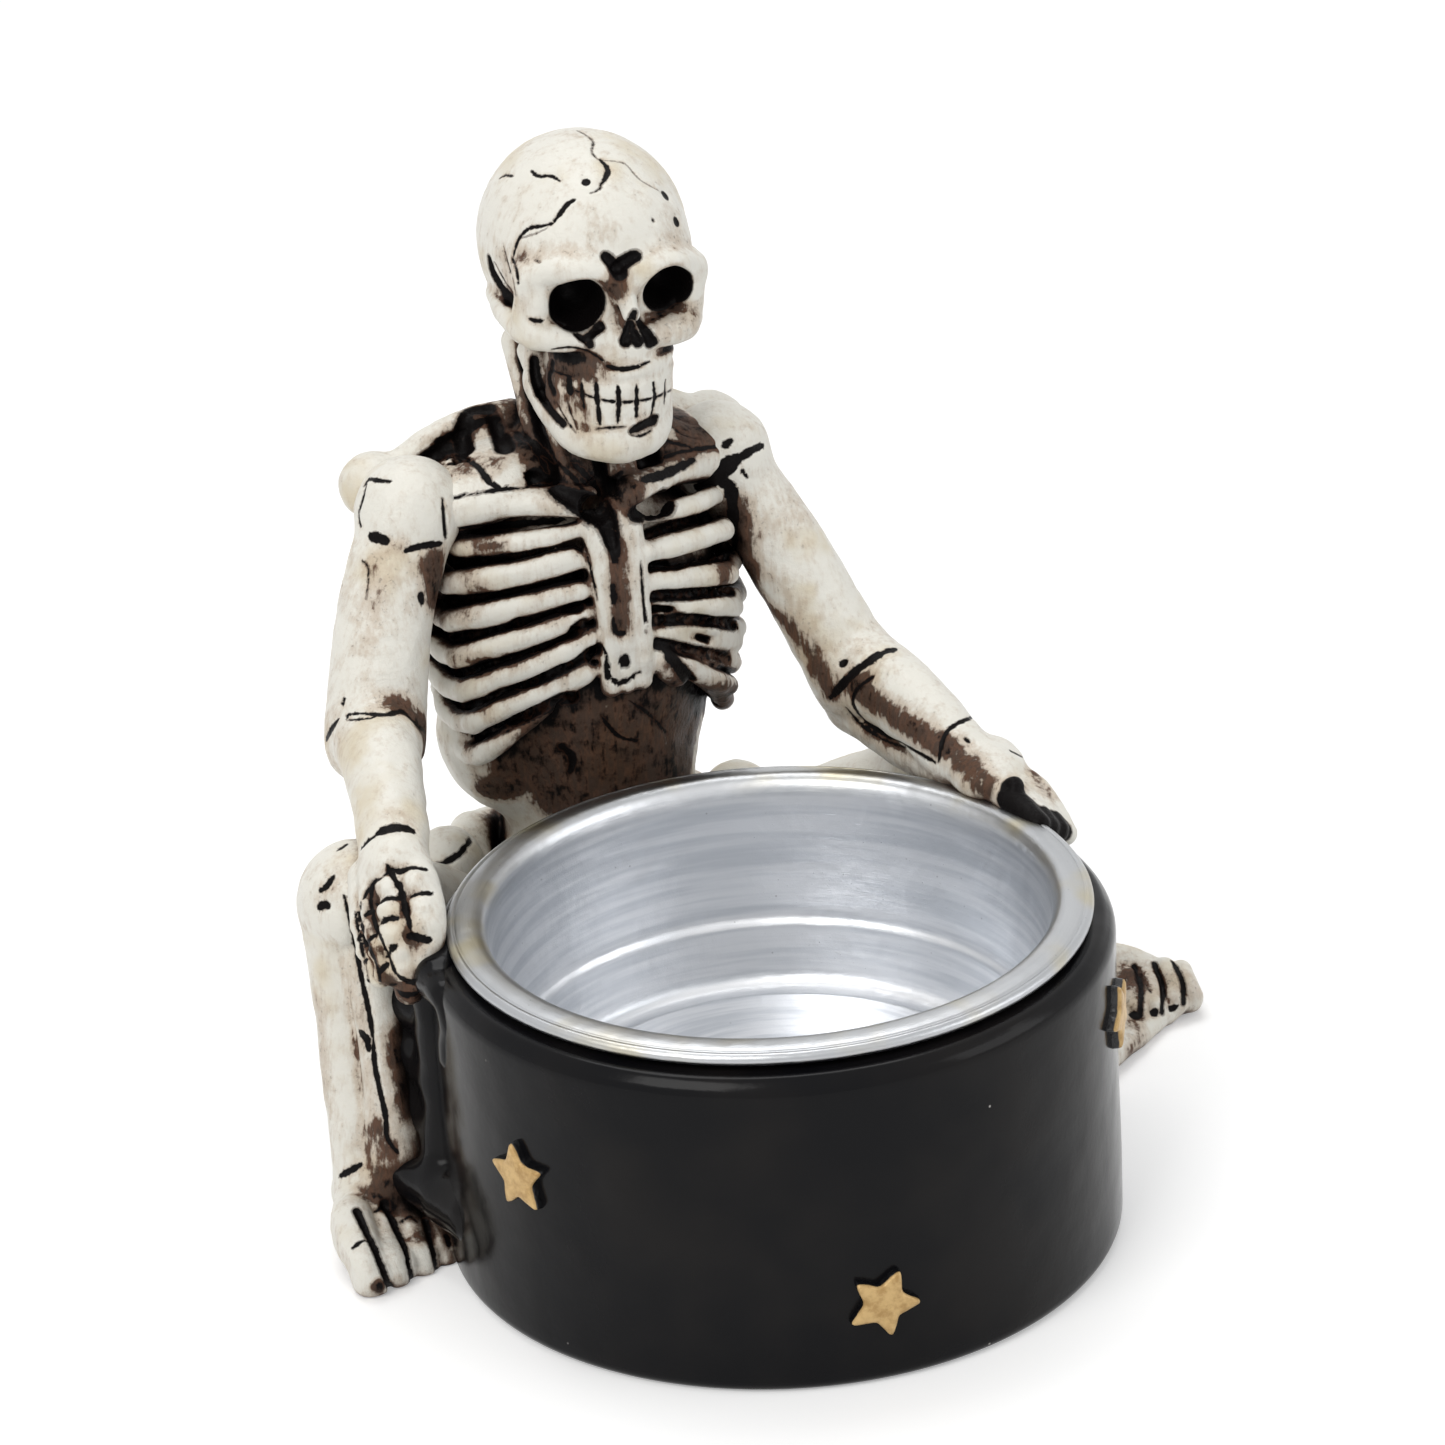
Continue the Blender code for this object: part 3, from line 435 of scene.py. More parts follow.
def normals_of(points, quads):
    """Unit normals of the points, from the quads round each."""
    a, b, c, d = (points[quads[:, corner]] for corner in range(4))
    across = np.cross(c - a, d - b)
    total = np.zeros_like(points)
    for corner in range(4):
        for i in range(3):
            total[:, i] += np.bincount(quads[:, corner], across[:, i], len(points))
    return total / np.maximum(np.linalg.norm(total, axis=1, keepdims=True), 1e-9)


class Piece:
    """One sculpted piece: its clay, and the paint that goes into its hollows and lines."""

    def __init__(self, low, high, step, frame=None):
        self.clay = Clay(low, high, step)
        self.lines = []
        self.dabs = []
        self.eye = point(*EYE)
        self.turn = np.eye(3)
        if frame is not None:
            self.turn = np.array(frame.to_3x3())
            self.eye = (self.eye - np.array(frame.translation) / MM) @ self.turn

    def add(self, form, blend=0.5):
        self.clay.add(form, blend)

    def cut(self, form, blend=0.25):
        self.clay.cut(form, blend)

    def on_skin(self, path):
        """The same path, moved onto the surface as it is so far."""
        path = np.array(path, float)
        steps = 0.2 * np.eye(3)
        for _ in range(4):
            slope = [self.clay.at(path + step) - self.clay.at(path - step) for step in steps]
            slope = np.column_stack(slope)
            slope /= np.maximum(np.linalg.norm(slope, axis=1, keepdims=True), 1e-6)
            path = path - slope * self.clay.at(path)[:, None]
        return path

    def seen(self, spots):
        """Where the lines of sight through places of the picture first meet the surface."""
        ways = sight(spots) @ self.turn
        clay = self.clay
        high = clay.low + clay.step * (np.array(clay.distance.shape) - 1)
        reach = ((np.where(ways > 0, clay.low, high) - self.eye) / ways).max(axis=1)
        # Each step falls a little short, so that no thin form is passed.
        for _ in range(70):
            reach = reach + 0.8 * clay.at(self.eye + ways * reach[:, None])
        return self.eye + ways * reach[:, None]

    def traced(self, spots, count):
        """The surface behind a line of the picture, as its longest run with no jump in depth."""
        path = self.seen(smooth_path(spots, count))
        jumps = np.nonzero(np.linalg.norm(np.diff(path, axis=0), axis=1) > LONGEST_STEP)[0] + 1
        return max(np.split(path, jumps), key=len)

    def deeper(self, path, depth):
        """The path, moved away from the eye by the depth."""
        way = path - self.eye
        return path + depth * way / np.linalg.norm(way, axis=1, keepdims=True)

    def line(self, path, width, depth=0.2, ink=1.0, count=0):
        """A line drawn on the surface: a shallow groove with dark paint in it, thin at its ends."""
        if count:
            path = smooth_path(path, count)
        path = self.on_skin(path)
        noise = np.random.default_rng(int(1000 * abs(path[0]).sum()))
        share = np.linspace(0.0, 1.0, len(path))
        radii = 0.5 * width * (0.45 + 0.55 * np.sin(math.pi * share) ** 0.5)
        radii = radii * noise.uniform(0.75, 1.25, len(path))
        groove = Bar(path, radii, 0)
        if depth:
            self.clay.emboss(groove, depth, 0.6 * width)
        self.lines.append((groove, 0.14, ink))

    def trace(self, table, depth=0.2):
        """Lines drawn where the picture shows them."""
        for width, ink, spots in table:
            self.line(self.traced(spots, 5 * len(spots)), width, depth, ink)

    def carve(self, table, sink=0.0, blend=0.15):
        """Black hollows where the picture shows them, with a radius for each end."""
        for first, last, spots in table:
            path = self.deeper(self.traced(spots, 4 * len(spots)), sink)
            form = Bar(path, np.linspace(first, last, len(path)), 0)
            self.cut(form, blend)
            self.lines.append((form, 0.3 + 0.6 * max(first, last), 1.0))

    def knobs(self, table, sink=0.6, blend=0.15):
        """Rounded bumps where the picture shows them."""
        for radius, spots in table:
            for place in self.deeper(self.seen(spots), sink * radius):
                self.add(Ball(place, [radius] * 3), blend)

    def bones(self, table, sink=0.8, blend=0.2):
        """Round bars where the picture shows them, with a radius for each end."""
        for first, last, spots in table:
            path = self.deeper(self.traced(spots, 14), sink * first)
            self.add(Bar(path, np.linspace(first, last, len(path)), 0), blend)

    def stain_and_shade(self, table):
        """Brown patches where the picture shows them; on the far foot they are painted shade."""
        for radius, strength, spots in table:
            path = self.traced(spots, 4 * len(spots))
            self.dab(Bar(path, np.full(len(path), radius), 0), strength, 0.7)

    def dab(self, form, strength, soft=1.0):
        """Paint washed over a place; below 0 it is wiped clean."""
        self.dabs.append((form, strength, soft))

    def paint(self, points, normals):
        """How much brown wash, and near-black ink, each point carries; the wash holds the far
        foot's painted shade too.
        """
        wash = np.zeros(len(points))
        stain_and_shade = np.zeros(len(points))
        for reach, weight in ((0.3, 0.5), (0.7, 0.6), (1.4, 0.45)):
            open_air = self.clay.at(points + normals * reach) / reach
            wash += weight * np.clip(0.92 - open_air, 0.0, 1.0)
        ink = np.zeros(len(points))
        for form, strength, soft in self.dabs:
            near = self.near(points, form, soft)
            found = form.distance(*points[near].T)
            stain_and_shade[near] += strength * np.clip(0.5 - found / (2.0 * soft), 0.0, 1.0)
        for form, soft, strength in self.lines:
            near = self.near(points, form, soft)
            found = form.distance(*points[near].T)
            ink[near] = np.maximum(ink[near], strength * np.clip(0.6 - found / soft, 0.0, 1.0))
        wash = wash + np.clip(stain_and_shade, -1.0, 0.78) * (1.0 - 0.6 * np.clip(wash, 0.0, 1.0))
        return np.clip(wash, 0.0, 1.6), np.clip(ink, 0.0, 1.0)

    def near(self, points, form, reach):
        inside = (points > form.low - reach) & (points < form.high + reach)
        return np.nonzero(inside.all(axis=1))[0]


def placed(name, data):
    """A new object of the scene that shows this data."""
    obj = bpy.data.objects.new(name, data)
    bpy.context.scene.collection.objects.link(obj)
    return obj


def mesh_object(name, points, faces, attributes=(), place=None):
    """A smooth mesh from arrays in millimetres, with its paint as point attributes."""
    mesh = bpy.data.meshes.new(name)
    points = points * MM
    mesh.vertices.add(len(points))
    mesh.vertices.foreach_set("co", points.astype(np.float32).ravel())
    mesh.loops.add(faces.size)
    mesh.loops.foreach_set("vertex_index", faces.astype(np.int32).ravel())
    mesh.polygons.add(len(faces))
    sides = faces.shape[1]
    mesh.polygons.foreach_set("loop_start", np.arange(0, faces.size, sides, dtype=np.int32))
    mesh.update(calc_edges=True)
    mesh.validate()
    for label, values in attributes:
        layer = mesh.attributes.new(label, "FLOAT", "POINT")
        layer.data.foreach_set("value", values.astype(np.float32))
    if place is not None:
        mesh.transform(place)
    mesh.shade_smooth()
    return placed(name, mesh)


def finished(piece, name, place=None, keep=1.0):
    """Turns a piece's clay into its painted object, with this share of its triangles kept."""
    points, quads = main_shells(*piece.clay.skin())
    points = relaxed(points, quads)
    if place is None:
        inset = INSET * point(1, 1, 0)
        low, high = np.array(CAD_BOX) / MM
        points = np.clip(points, low + inset, high - inset)
    wash, ink = piece.paint(points, normals_of(points, quads))
    obj = mesh_object(name, points, quads, (("wash", wash), ("ink", ink)), place)
    if keep < 1.0:
        obj.modifiers.new("Fewer Triangles", "DECIMATE").ratio = keep
    return obj


def seated(obj, node, material):
    """Hangs a piece on the part in place of a solid, with its look."""
    obj.data.materials.append(material)
    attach(obj, "root")
    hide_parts(node)


def skull_clay(step):
    """The skull in its own frame: its front at -Y, its middle at the centre of the cranium."""
    piece = Piece((-9.4, -11.6, -16.4), (9.4, 10.2, 8.8), step, skull_place())
    piece.add(Ball((0, 0.5, 0), (7.66, 8.85, 7.84)), 0.1)
    piece.add(Ball((0, -4.0, -0.2), (6.7, 4.9, 6.0)), 1.2)
    piece.add(Ball((0, 3.0, -4.0), (5.8, 5.2, 4.2)), 1.2)
    piece.add(Ball((0.2, -2.4, -8.0), (4.1, 4.2, 4.2)), 0.8)
    for side in (-1, 1):
        def at(*places, shift=0.0):
            return [(side * x + shift, y, z) for x, y, z in places]

        brow = at((0.6, -8.6, -0.3), (2.6, -8.9, 0.35), (4.7, -8.1, 0.4), (6.5, -6.2, -0.8))
        piece.add(Bar(brow, (0.7, 0.85, 0.85, 0.85)), 1.5)
        rim = at((6.4, -6.4, -0.6), (6.75, -6.2, -2.0), (6.5, -6.3, -3.4), (5.4, -6.9, -4.6))
        piece.add(Bar(rim, (0.85, 0.8, 0.85, 1.1)), 1.0)
        cheek = at((1.9, -8.2, -4.9), (4.0, -7.9, -4.8), (6.0, -6.6, -4.6))
        cheek += at((6.7, -3.2, -4.4), (6.5, 0.6, -4.0))
        piece.add(Bar(cheek, (0.8, 1.05, 1.15, 0.8, 0.7)), 0.5)
        ramus = at((4.9, -1.8, -4.6), (4.75, -2.4, -7.4), (4.5, -2.9, -9.9), shift=0.5)
        piece.add(Bar(ramus, (0.9, 1.1, 1.25), press=((side, 0, 0), 1.3)), 0.4)
        jaw = at((4.4, -2.8, -9.8), (3.8, -4.8, -11.3), (2.7, -7.2, -12.4), shift=0.5)
        jaw += at((1.2, -8.3, -12.7), (0, -8.5, -12.7), shift=0.5)
        piece.add(Bar(jaw, (1.3, 1.35, 1.55, 1.6, 1.6), 14), 0.6)
    piece.add(Bar([(0.1, -8.7, 0.1), (0.3, -9.2, -1.2), (0.6, -9.8, -2.6)], (0.9, 0.75, 0.65)), 0.6)
    piece.add(Ball((0.3, -5.9, -6.0), (3.9, 3.4, 3.2)), 0.7)
    piece.add(Ball((0.5, -5.6, -10.9), (3.7, 3.3, 2.0)), 0.6)
    piece.add(Ball((-5.5, -6.3, -2.2), (1.3, 1.6, 2.7)), 0.5)
    piece.add(Ball((6.0, -6.3, -1.8), (1.0, 1.4, 2.5)), 0.5)
    for x, z, wide, tall in ((-2.85, -2.2, 2.0, 2.1), (3.9, -1.5, 1.95, 1.9)):
        piece.cut(Ball((x, -8.2, z), (wide, 3.6, tall)), 0.25)
        piece.cut(Ball((x, -9.6, z), (wide + 0.25, 1.5, tall + 0.2)), 0.5)
        piece.lines.append((Ball((x, -7.2, z), (wide + 0.05, 3.4, tall + 0.05)), 0.35, 1.0))
    for side in (-1, 1):
        piece.cut(Ball((side * 5.1 + 0.5, -5.4, -7.9), (1.3, 2.2, 2.3)), 0.5)
        piece.cut(Ball((side * 4.5 + 0.5, -6.6, -9.4), (0.9, 1.4, 1.3)), 0.5)
        piece.cut(Ball((side * 8.8, -4.4, -2.0), (1.9, 2.9, 2.4)), 1.0)
        piece.dab(Ball((side * 5.0 + 0.5, -5.2, -8.0), (1.7, 2.7, 2.7)), 0.35, 0.9)
    arc = []
    for a in np.radians(np.linspace(-82, 82, 19)):
        arc.append((0.5 + 4.05 * math.sin(a), -5.0 - 4.05 * math.cos(a), 0.6 * math.sin(a) ** 2))
    for height, radius in ((-7.3, 0.72), (-8.5, 0.8), (-9.4, 0.76), (-10.2, 0.78), (-11.1, 0.74)):
        piece.add(Bar([(x, y, z + height) for x, y, z in arc], [radius] * len(arc), 0), 0.4)
    piece.carve(SKULL_HOLLOWS)
    piece.clay.ripple(1.6, 0.035, 3)
    piece.clay.ripple(0.5, 0.012, 4)
    piece.trace(SKULL_LINES)
    for spot, size, strength in (
        ((615, 288), 1.1, 0.45),
        ((601, 300), 0.7, 0.4),
        ((519, 262), 0.9, 0.35),
        ((512, 290), 0.9, 0.4),
        ((672, 222), 0.9, 0.3),
        ((578, 355), 1.0, 0.35),
        ((573, 370), 1.2, 0.45),
        ((597, 374), 0.8, 0.35),
        ((612, 362), 0.8, 0.25),
        ((577, 402), 1.0, 0.45),
        ((546, 385), 1.0, 0.6),
        ((553, 404), 1.0, 0.6),
        ((563, 360), 1.2, 0.5),
        ((585, 362), 1.1, 0.45),
        ((505, 262), 1.0, 0.45),
        ((612, 290), 0.8, 0.55),
        ((583, 424), 0.9, 0.45),
        ((640, 424), 0.7, 0.4),
        ((693, 322), 1.0, 0.4),
        ((668, 330), 0.9, 0.4),
        ((598, 225), 0.9, 0.22),
    ):
        piece.dab(Ball(piece.seen([spot])[0], [size] * 3), strength, 0.9)
    piece.dab(Ball((0, 1.5, -8.6), (5.6, 4.5, 4.0)), 0.8, 1.4)
    return piece


def skull_place():
    lean = Euler((0.0, math.radians(5.5), math.radians(-5.0))).to_matrix().to_4x4()
    return Matrix.Translation(Vector(SKULL) * MM) @ lean


def chest_point(angle, height, out=0.0):
    """A point of the rib cage: angle 0 is the front, height is from its middle."""
    wide, deep, tall = CHEST_RADII
    rise = min(abs(height) / tall, 1.0)
    narrow = math.sqrt(1.0 - CHEST_TAPER * rise * rise)
    turn = math.radians(angle)
    return point(
        CHEST[0] + (wide * narrow + out) * math.sin(turn),
        CHEST[1] - (deep * narrow + out) * math.cos(turn),
        CHEST[2] + height,
    )


CHEST_RADII = (12.0, 8.2, 12.6)
CHEST_TAPER = 0.42
# Each rib's height at the breast bone and at the flank.
RIB_FRONTS = (45.2, 42.9, 40.8, 39.0, 37.3, 35.7, 34.3)
RIB_FLANKS = (44.0, 41.2, 38.2, 35.3, 32.4, 29.6, 26.6)


def rib_path(side, number, drop=0.0):
    """A rib's line from the sternum round to the spine, or the gap below it when it is dropped."""
    middle = CHEST[2]
    front, flank = RIB_FRONTS[number] - middle, RIB_FLANKS[number] - middle
    if drop:
        front = front + drop * (RIB_FRONTS[number + 1] - middle - front)
        flank = flank + drop * (RIB_FLANKS[number + 1] - middle - flank)
    out = -1.15 if drop else 0.0
    line = []
    for angle, height in (
        (13.0, front),
        (27.0, 0.75 * front + 0.25 * flank),
        (48.0, 0.35 * front + 0.65 * flank),
        (75.0, flank),
        (110.0, flank + 0.9),
        (145.0, flank + 2.4),
        (172.0, flank + 3.4),
    ):
        line.append(chest_point(side * angle, height, out))
    return line


def torso_clay(step):
    """Rib cage, shoulders, neck, belly and pelvis."""
    piece = Piece((-19.5, 20.5, 0.0), (18.5, 46.5, 60.0), step)
    noise = np.random.default_rng(11)
    piece.add(Ball((0, 33.6, 35.2), (10.9, 7.1, 12.6)), 0.1)
    piece.add(Ball((-0.8, 35.2, 26.6), (10.8, 6.2, 8.4)), 1.5)
    piece.add(Bar([(0, 34.0, 30.0), (1.0, 35.1, 19.3), HIP], (7.4, 7.4, 8.1), 6), 1.5)
    piece.add(Ball((0, 36.0, 7.5), (8.5, 7.4, 8.0)), 1.0)
    spine = [(0, 42.5, 9), (0, 41.0, 22.5), (0, 41.4, 36), (0, 37.6, 46.8), (1.0, 36.1, 58)]
    piece.add(Bar(spine, (1.9, 1.7, 1.5, 2.0, 2.6), 14), 0.6)
    piece.add(Bar([(0, 33.4, 47.0), (0.6, 34.2, 52.0), (0.9, 34.8, 57.0)], (4.6, 3.5, 3.3), 8), 0.8)
    for place in smooth_path(spine, 17):
        piece.add(Ball(place + point(0, 1.1, 0), (1.3, 1.5, 0.95)), 0.4)
    for side in (-1, 1):
        girdle_clay(piece, side)
        pelvis_clay(piece, side)
        for number in range(7):
            radii = (0.62, 0.72, 0.82, 0.86, 0.8, 0.8, 0.8)
            piece.add(Bar(rib_path(side, number), radii, 22), 0.22)
        for number in range(6):
            gap = smooth_path(rib_path(side, number, 0.5), 60)[24 if side < 0 else 28:44]
            piece.cut(Bar(gap[::3], np.full(len(gap[::3]), 0.42), 0), 0.3)
            for place in gap[1::2]:
                place = place + noise.normal(0, 0.05, 3)
                away = (place - point(*CHEST)) * (1, 1, 0)
                place = place + 0.35 * away / np.linalg.norm(away)
                piece.cut(Ball(place, [noise.uniform(0.24, 0.36)] * 3), 0.08)
    plate = [chest_point(0, height, 0.15) for height in (10.2, 6.0, 0.5, -3.2)]
    for offset in (-1.25, 0.0, 1.25):
        piece.add(Bar([p + point(offset, 0, 0) for p in plate], (1.15, 1.05, 0.95, 0.85), 8), 0.35)
    for gaps, bold, stained in ((NEAR_GAPS, 0.46, True), (FAR_GAPS, 0.42, False)):
        for upper, lower in zip(gaps, gaps[1:]):
            pair = [smooth_path(spots, 8) for spots in (upper, lower)]
            rib = piece.deeper(piece.traced(0.5 * (pair[0] + pair[1]), 16), 0.45)
            piece.add(Bar(rib, np.full(len(rib), 0.86), 0), 0.3)
        for spots in gaps:
            piece.carve([(bold, bold, spots)], 0.05, 0.25)
            for place in piece.traced(spots, 26):
                place = place + noise.normal(0, 0.13, 3)
                piece.cut(Ball(place, [noise.uniform(0.2, 0.34)] * 3), 0.06)
            if stained:
                below = piece.traced(np.array(spots) + (0, 4.0), 18)
                piece.dab(Bar(below, np.full(len(below), 0.7), 0), 0.55, 0.6)
    piece.bones([(1.2, 1.1, ((654, 653), (682, 679), (712, 705)))], 0.6, 0.3)
    piece.carve(TORSO_HOLLOWS)
    piece.trace(TORSO_LINES)
    piece.stain_and_shade(TORSO_STAINS)
    for place, radii, strength in (
        ((0.3, 27.0, 25.5), (10.5, 5.5, 6.8), 1.0),
        ((0, 28.0, 49.5), (5.5, 4.5, 3.6), 0.5),
        ((9, 31.0, 27.5), (5, 5, 4.5), 0.35),
        ((0.2, 25.5, 41.0), (0.9, 2.0, 5.0), 0.4),
        ((0, 36, 52.5), (6, 6, 3.5), 0.5),
    ):
        piece.dab(Ball(place, radii), strength, 1.3)
    piece.dab(Ball((-11.5, 31.0, 28.0), (3.2, 5, 5.5)), -0.5, 1.5)
    piece.clay.ripple(1.5, 0.05, 5)
    piece.clay.ripple(0.55, 0.02, 6)
    return piece


NEAR_GAPS = (
    ((449, 563), (495, 557), (536, 550), (566, 542)),
    ((448, 602), (495, 593), (536, 584), (577, 575)),
    ((454, 640), (495, 628), (536, 616), (577, 606)),
    ((459, 675), (495, 662), (536, 649), (583, 625)),
    ((468, 706), (506, 690), (553, 672), (595, 649)),
    ((477, 740), (512, 719), (548, 704), (572, 696)),
)
FAR_GAPS = (
    ((645, 537), (683, 522), (722, 504)),
    ((648, 566), (683, 563), (725, 556)),
    ((653, 596), (698, 593), (731, 590)),
    ((656, 621), (692, 619), (734, 624)),
    ((656, 643), (689, 651), (729, 658)),
    ((668, 656), (698, 689), (725, 712)),
)


def girdle_clay(piece, side):
    """Collar bone, shoulder blade, the ridge between them and the cords of the neck."""
    joint = point(*(NEAR if side < 0 else FAR_SIDE)["shoulder"])
    inner = chest_point(side * 11, 11.3, 0.3)
    tip = joint + point(side * 1.2, 4.4, 0.6)
    bone = [inner, mixed(inner, joint, 0.5) + point(0, -0.3, 0.2), joint]
    piece.add(Bar(bone, (1.25, 1.15, 1.7), press=((0, -0.3, 1), 1.1)), 0.4)
    end = point(side * 3.4, 37.0, 50.6)
    ridge = [end, mixed(end, tip, 0.42) + point(0, 0, 1.3), tip]
    piece.add(Bar(ridge, (1.5, 1.15, 1.4)), 0.5)
    piece.add(Ball(tip, (2.6, 2.5, 2.5)), 0.5)
    fill = mixed(inner, end, 0.5) + point(side * 4.2, 1.2, -1.3)
    piece.add(Ball(fill, (6.6, 4.2, 2.7), (0, side * 14, 0)), 0.8)
    low = [inner + point(side * 2.4, 2.6, 1.2), mixed(inner, tip, 0.55) + point(0, 0.6, 1.7)]
    piece.cut(Bar(low, (0.5, 0.6), 0), 0.6)
    piece.add(Bar([(side * 5.0, 36.6, 48.4), (side * 13.4, 37.0, 46.4)], (2.4, 2.2), 0), 0.6)
    piece.add(Ball((side * 11.8, 36.4, 41.0), (3.1, 3.4, 6.9)), 0.6)
    for start, finish in (
        ((side * 2.2, 28.2, 48.6), (side * 2.7, 33.2, 57)),
        ((side * 1.1, 28.0, 48.8), (side * 2.0, 31.5, 56.5)),
        ((side * 3.6, 31.2, 49.6), (side * 2.9, 36, 57)),
    ):
        cord = [start, mixed(start, finish, 0.5) + point(0, 0.4, 0), finish]
        piece.add(Bar(cord, (0.75, 0.7, 1.1)), 0.4)
    blade = point(side * 6.7, 40.2, 40.5)
    piece.add(Ball(blade, (4.2, 1.5, 6.0), (8, side * 16, side * -24)), 0.4)
    noise = np.random.default_rng(21 + side)
    for _ in range(46):
        spot = mixed(inner, tip, noise.uniform(0.28, 0.78)) + point(0, noise.uniform(0.2, 2.4), 1.6)
        piece.cut(Ball(spot + noise.normal(0, 0.3, 3), [noise.uniform(0.18, 0.34)] * 3), 0.1)
    piece.dab(Bar([mixed(inner, end, 0.4), mixed(fill, tip, 0.5)], (1.8, 1.6), 0), 0.5, 0.8)


def pelvis_clay(piece, side):
    """One side of the pelvis: its crest, the hip and the head of the thigh bone."""
    crest = [(side * 2.6, 42.0, 14.5), (side * 8.9, 38.0, 16.6), (side * 10.2, 32.4, 13.4)]
    piece.add(Bar(crest, (1.7, 1.9, 1.8)), 0.6)
    piece.add(Ball((side * 9.8, 35, 10.5), (4.3, 4.5, 4.5)), 0.6)
    piece.add(Ball((side * 12.1, 34.4, 16.8), (2.9, 3.0, 2.8)), 0.4)
    path = [(side * 9.6, 33.5, 19.6), (side * 12.2, 31.8, 18.6), (side * 14.4, 34.5, 16.5)]
    piece.line(path, 0.45, 0.2, 0.8, 10)


def arm_clay(name, side, spot, step):
    """Upper arm, elbow and a forearm of two bones; the hand is added by its own function."""
    shoulder, elbow, wrist = (point(*spot[end]) for end in ("shoulder", "elbow", "wrist"))
    every = np.array([shoulder, elbow, wrist])
    low, high = every.min(axis=0) - 5.6, every.max(axis=0) + 5.6
    if name == "near":
        low = np.minimum(low, (-29.5, 3.0, 14.5))
        high = np.maximum(high, (-15.5, 10, 20))
    else:
        high = np.maximum(high, (28.6, 20, 35))
        low = np.minimum(low, (9, -0.5, 19.5))
    piece = Piece(low, high, step)
    middle = mixed(shoulder, elbow, 0.5) + point(side * 0.6, 0.3, 0)
    piece.add(Ball(shoulder, (4.0, 3.9, 3.9)), 0.1)
    thick = 3.6 if name == "near" else 3.25
    piece.add(Bar([shoulder, middle, elbow], (0.95 * thick, thick, 1.04 * thick), 8), 1.0)
    along = (wrist - elbow) / np.linalg.norm(wrist - elbow)
    down = point(0, 0, -1) + along * along[2]
    down = down / np.linalg.norm(down)
    upper = [elbow - down, mixed(elbow, wrist, 0.5) - 1.35 * down, wrist]
    lower = [elbow + 2.1 * down, mixed(elbow, wrist, 0.5) + 2.5 * down, wrist + 1.6 * down]
    piece.add(Bar(upper, (3.4, 2.9, 2.5), 8), 0.7)
    piece.add(Bar(lower, (2.3, 1.8, 2.1), 8), 0.35)
    arm_way = (elbow - shoulder) / np.linalg.norm(elbow - shoulder)
    joint_line(piece, shoulder + arm_way * 4.2, arm_way, thick, 0.42)
    joint_line(piece, elbow - arm_way * 1.4, arm_way, thick * 1.06, 0.42)
    joint_line(piece, wrist - along * 1.2, along, 3.2, 0.4)
    piece.dab(Ball(elbow + along * 1.5, (4.4, 4.4, 4.4)), 0.25, 1.6)
    piece.dab(Ball(shoulder + arm_way * 5.5, (4.4, 4.4, 3.0)), 0.2, 1.6)
    piece.dab(Bar([elbow, wrist], (2.2, 2.2), 0), -0.15, 0.8)
    return piece


TORSO_LINES = (
    (0.30, 0.9, ((442, 500), (480, 492), (520, 487), (552, 484))),
    (0.22, 0.9, ((664, 412), (684, 420), (704, 424), (724, 420))),
    (0.20, 0.9, ((670, 424), (682, 434), (700, 438))),
    (0.20, 0.9, ((690, 408), (700, 416), (716, 412))),
    (0.26, 0.9, ((650, 462), (680, 452), (716, 446), (742, 438))),
    (0.24, 0.9, ((662, 440), (690, 446))),
    (0.30, 0.9, ((500, 735), (540, 712), (575, 700))),
    (0.50, 1.0, ((560, 745), (572, 757), (570, 772))),
    (0.30, 0.9, ((600, 715), (618, 735), (640, 742))),
    (0.26, 0.9, ((628, 700), (650, 715), (668, 735))),
    (0.24, 0.9, ((598, 640), (606, 655), (607, 664))),
    (0.24, 0.8, ((640, 535), (652, 540))),
    (0.24, 0.9, ((641, 560), (643, 585), (645, 612), (648, 636))),
    (0.20, 0.8, ((584, 545), (592, 575), (597, 600))),
    (0.35, 0.9, ((608, 677), (622, 683), (640, 672))),
    (0.5, 1.0, ((448, 531), (477, 527), (505, 525), (535, 522), (565, 519))),
    (0.7, 0.9, ((611, 534), (615, 548), (616, 562))),
    (0.6, 0.8, ((613, 586), (615, 604))),
    (0.6, 0.8, ((614, 618), (617, 632), (624, 634))),
    (0.8, 0.8, ((623, 659), (626, 663))),
    (0.4, 1.0, ((606, 663), (608, 679))),
    (0.8, 0.9, ((642, 479), (665, 473), (695, 460))),
    (0.6, 1.0, ((436, 441), (459, 434), (478, 424), (495, 413))),
    (0.5, 1.0, ((511, 427), (524, 437), (538, 446), (553, 460))),
    (0.4, 1.0, ((533, 446), (541, 458), (549, 474))),
    (0.4, 1.0, ((467, 459), (480, 468), (489, 481), (500, 487))),
    (0.3, 1.0, ((432, 491), (437, 496), (443, 499))),
    (0.5, 1.0, ((572, 463), (590, 480), (604, 503))),
    (0.4, 0.9, ((553, 461), (570, 474), (584, 490))),
)
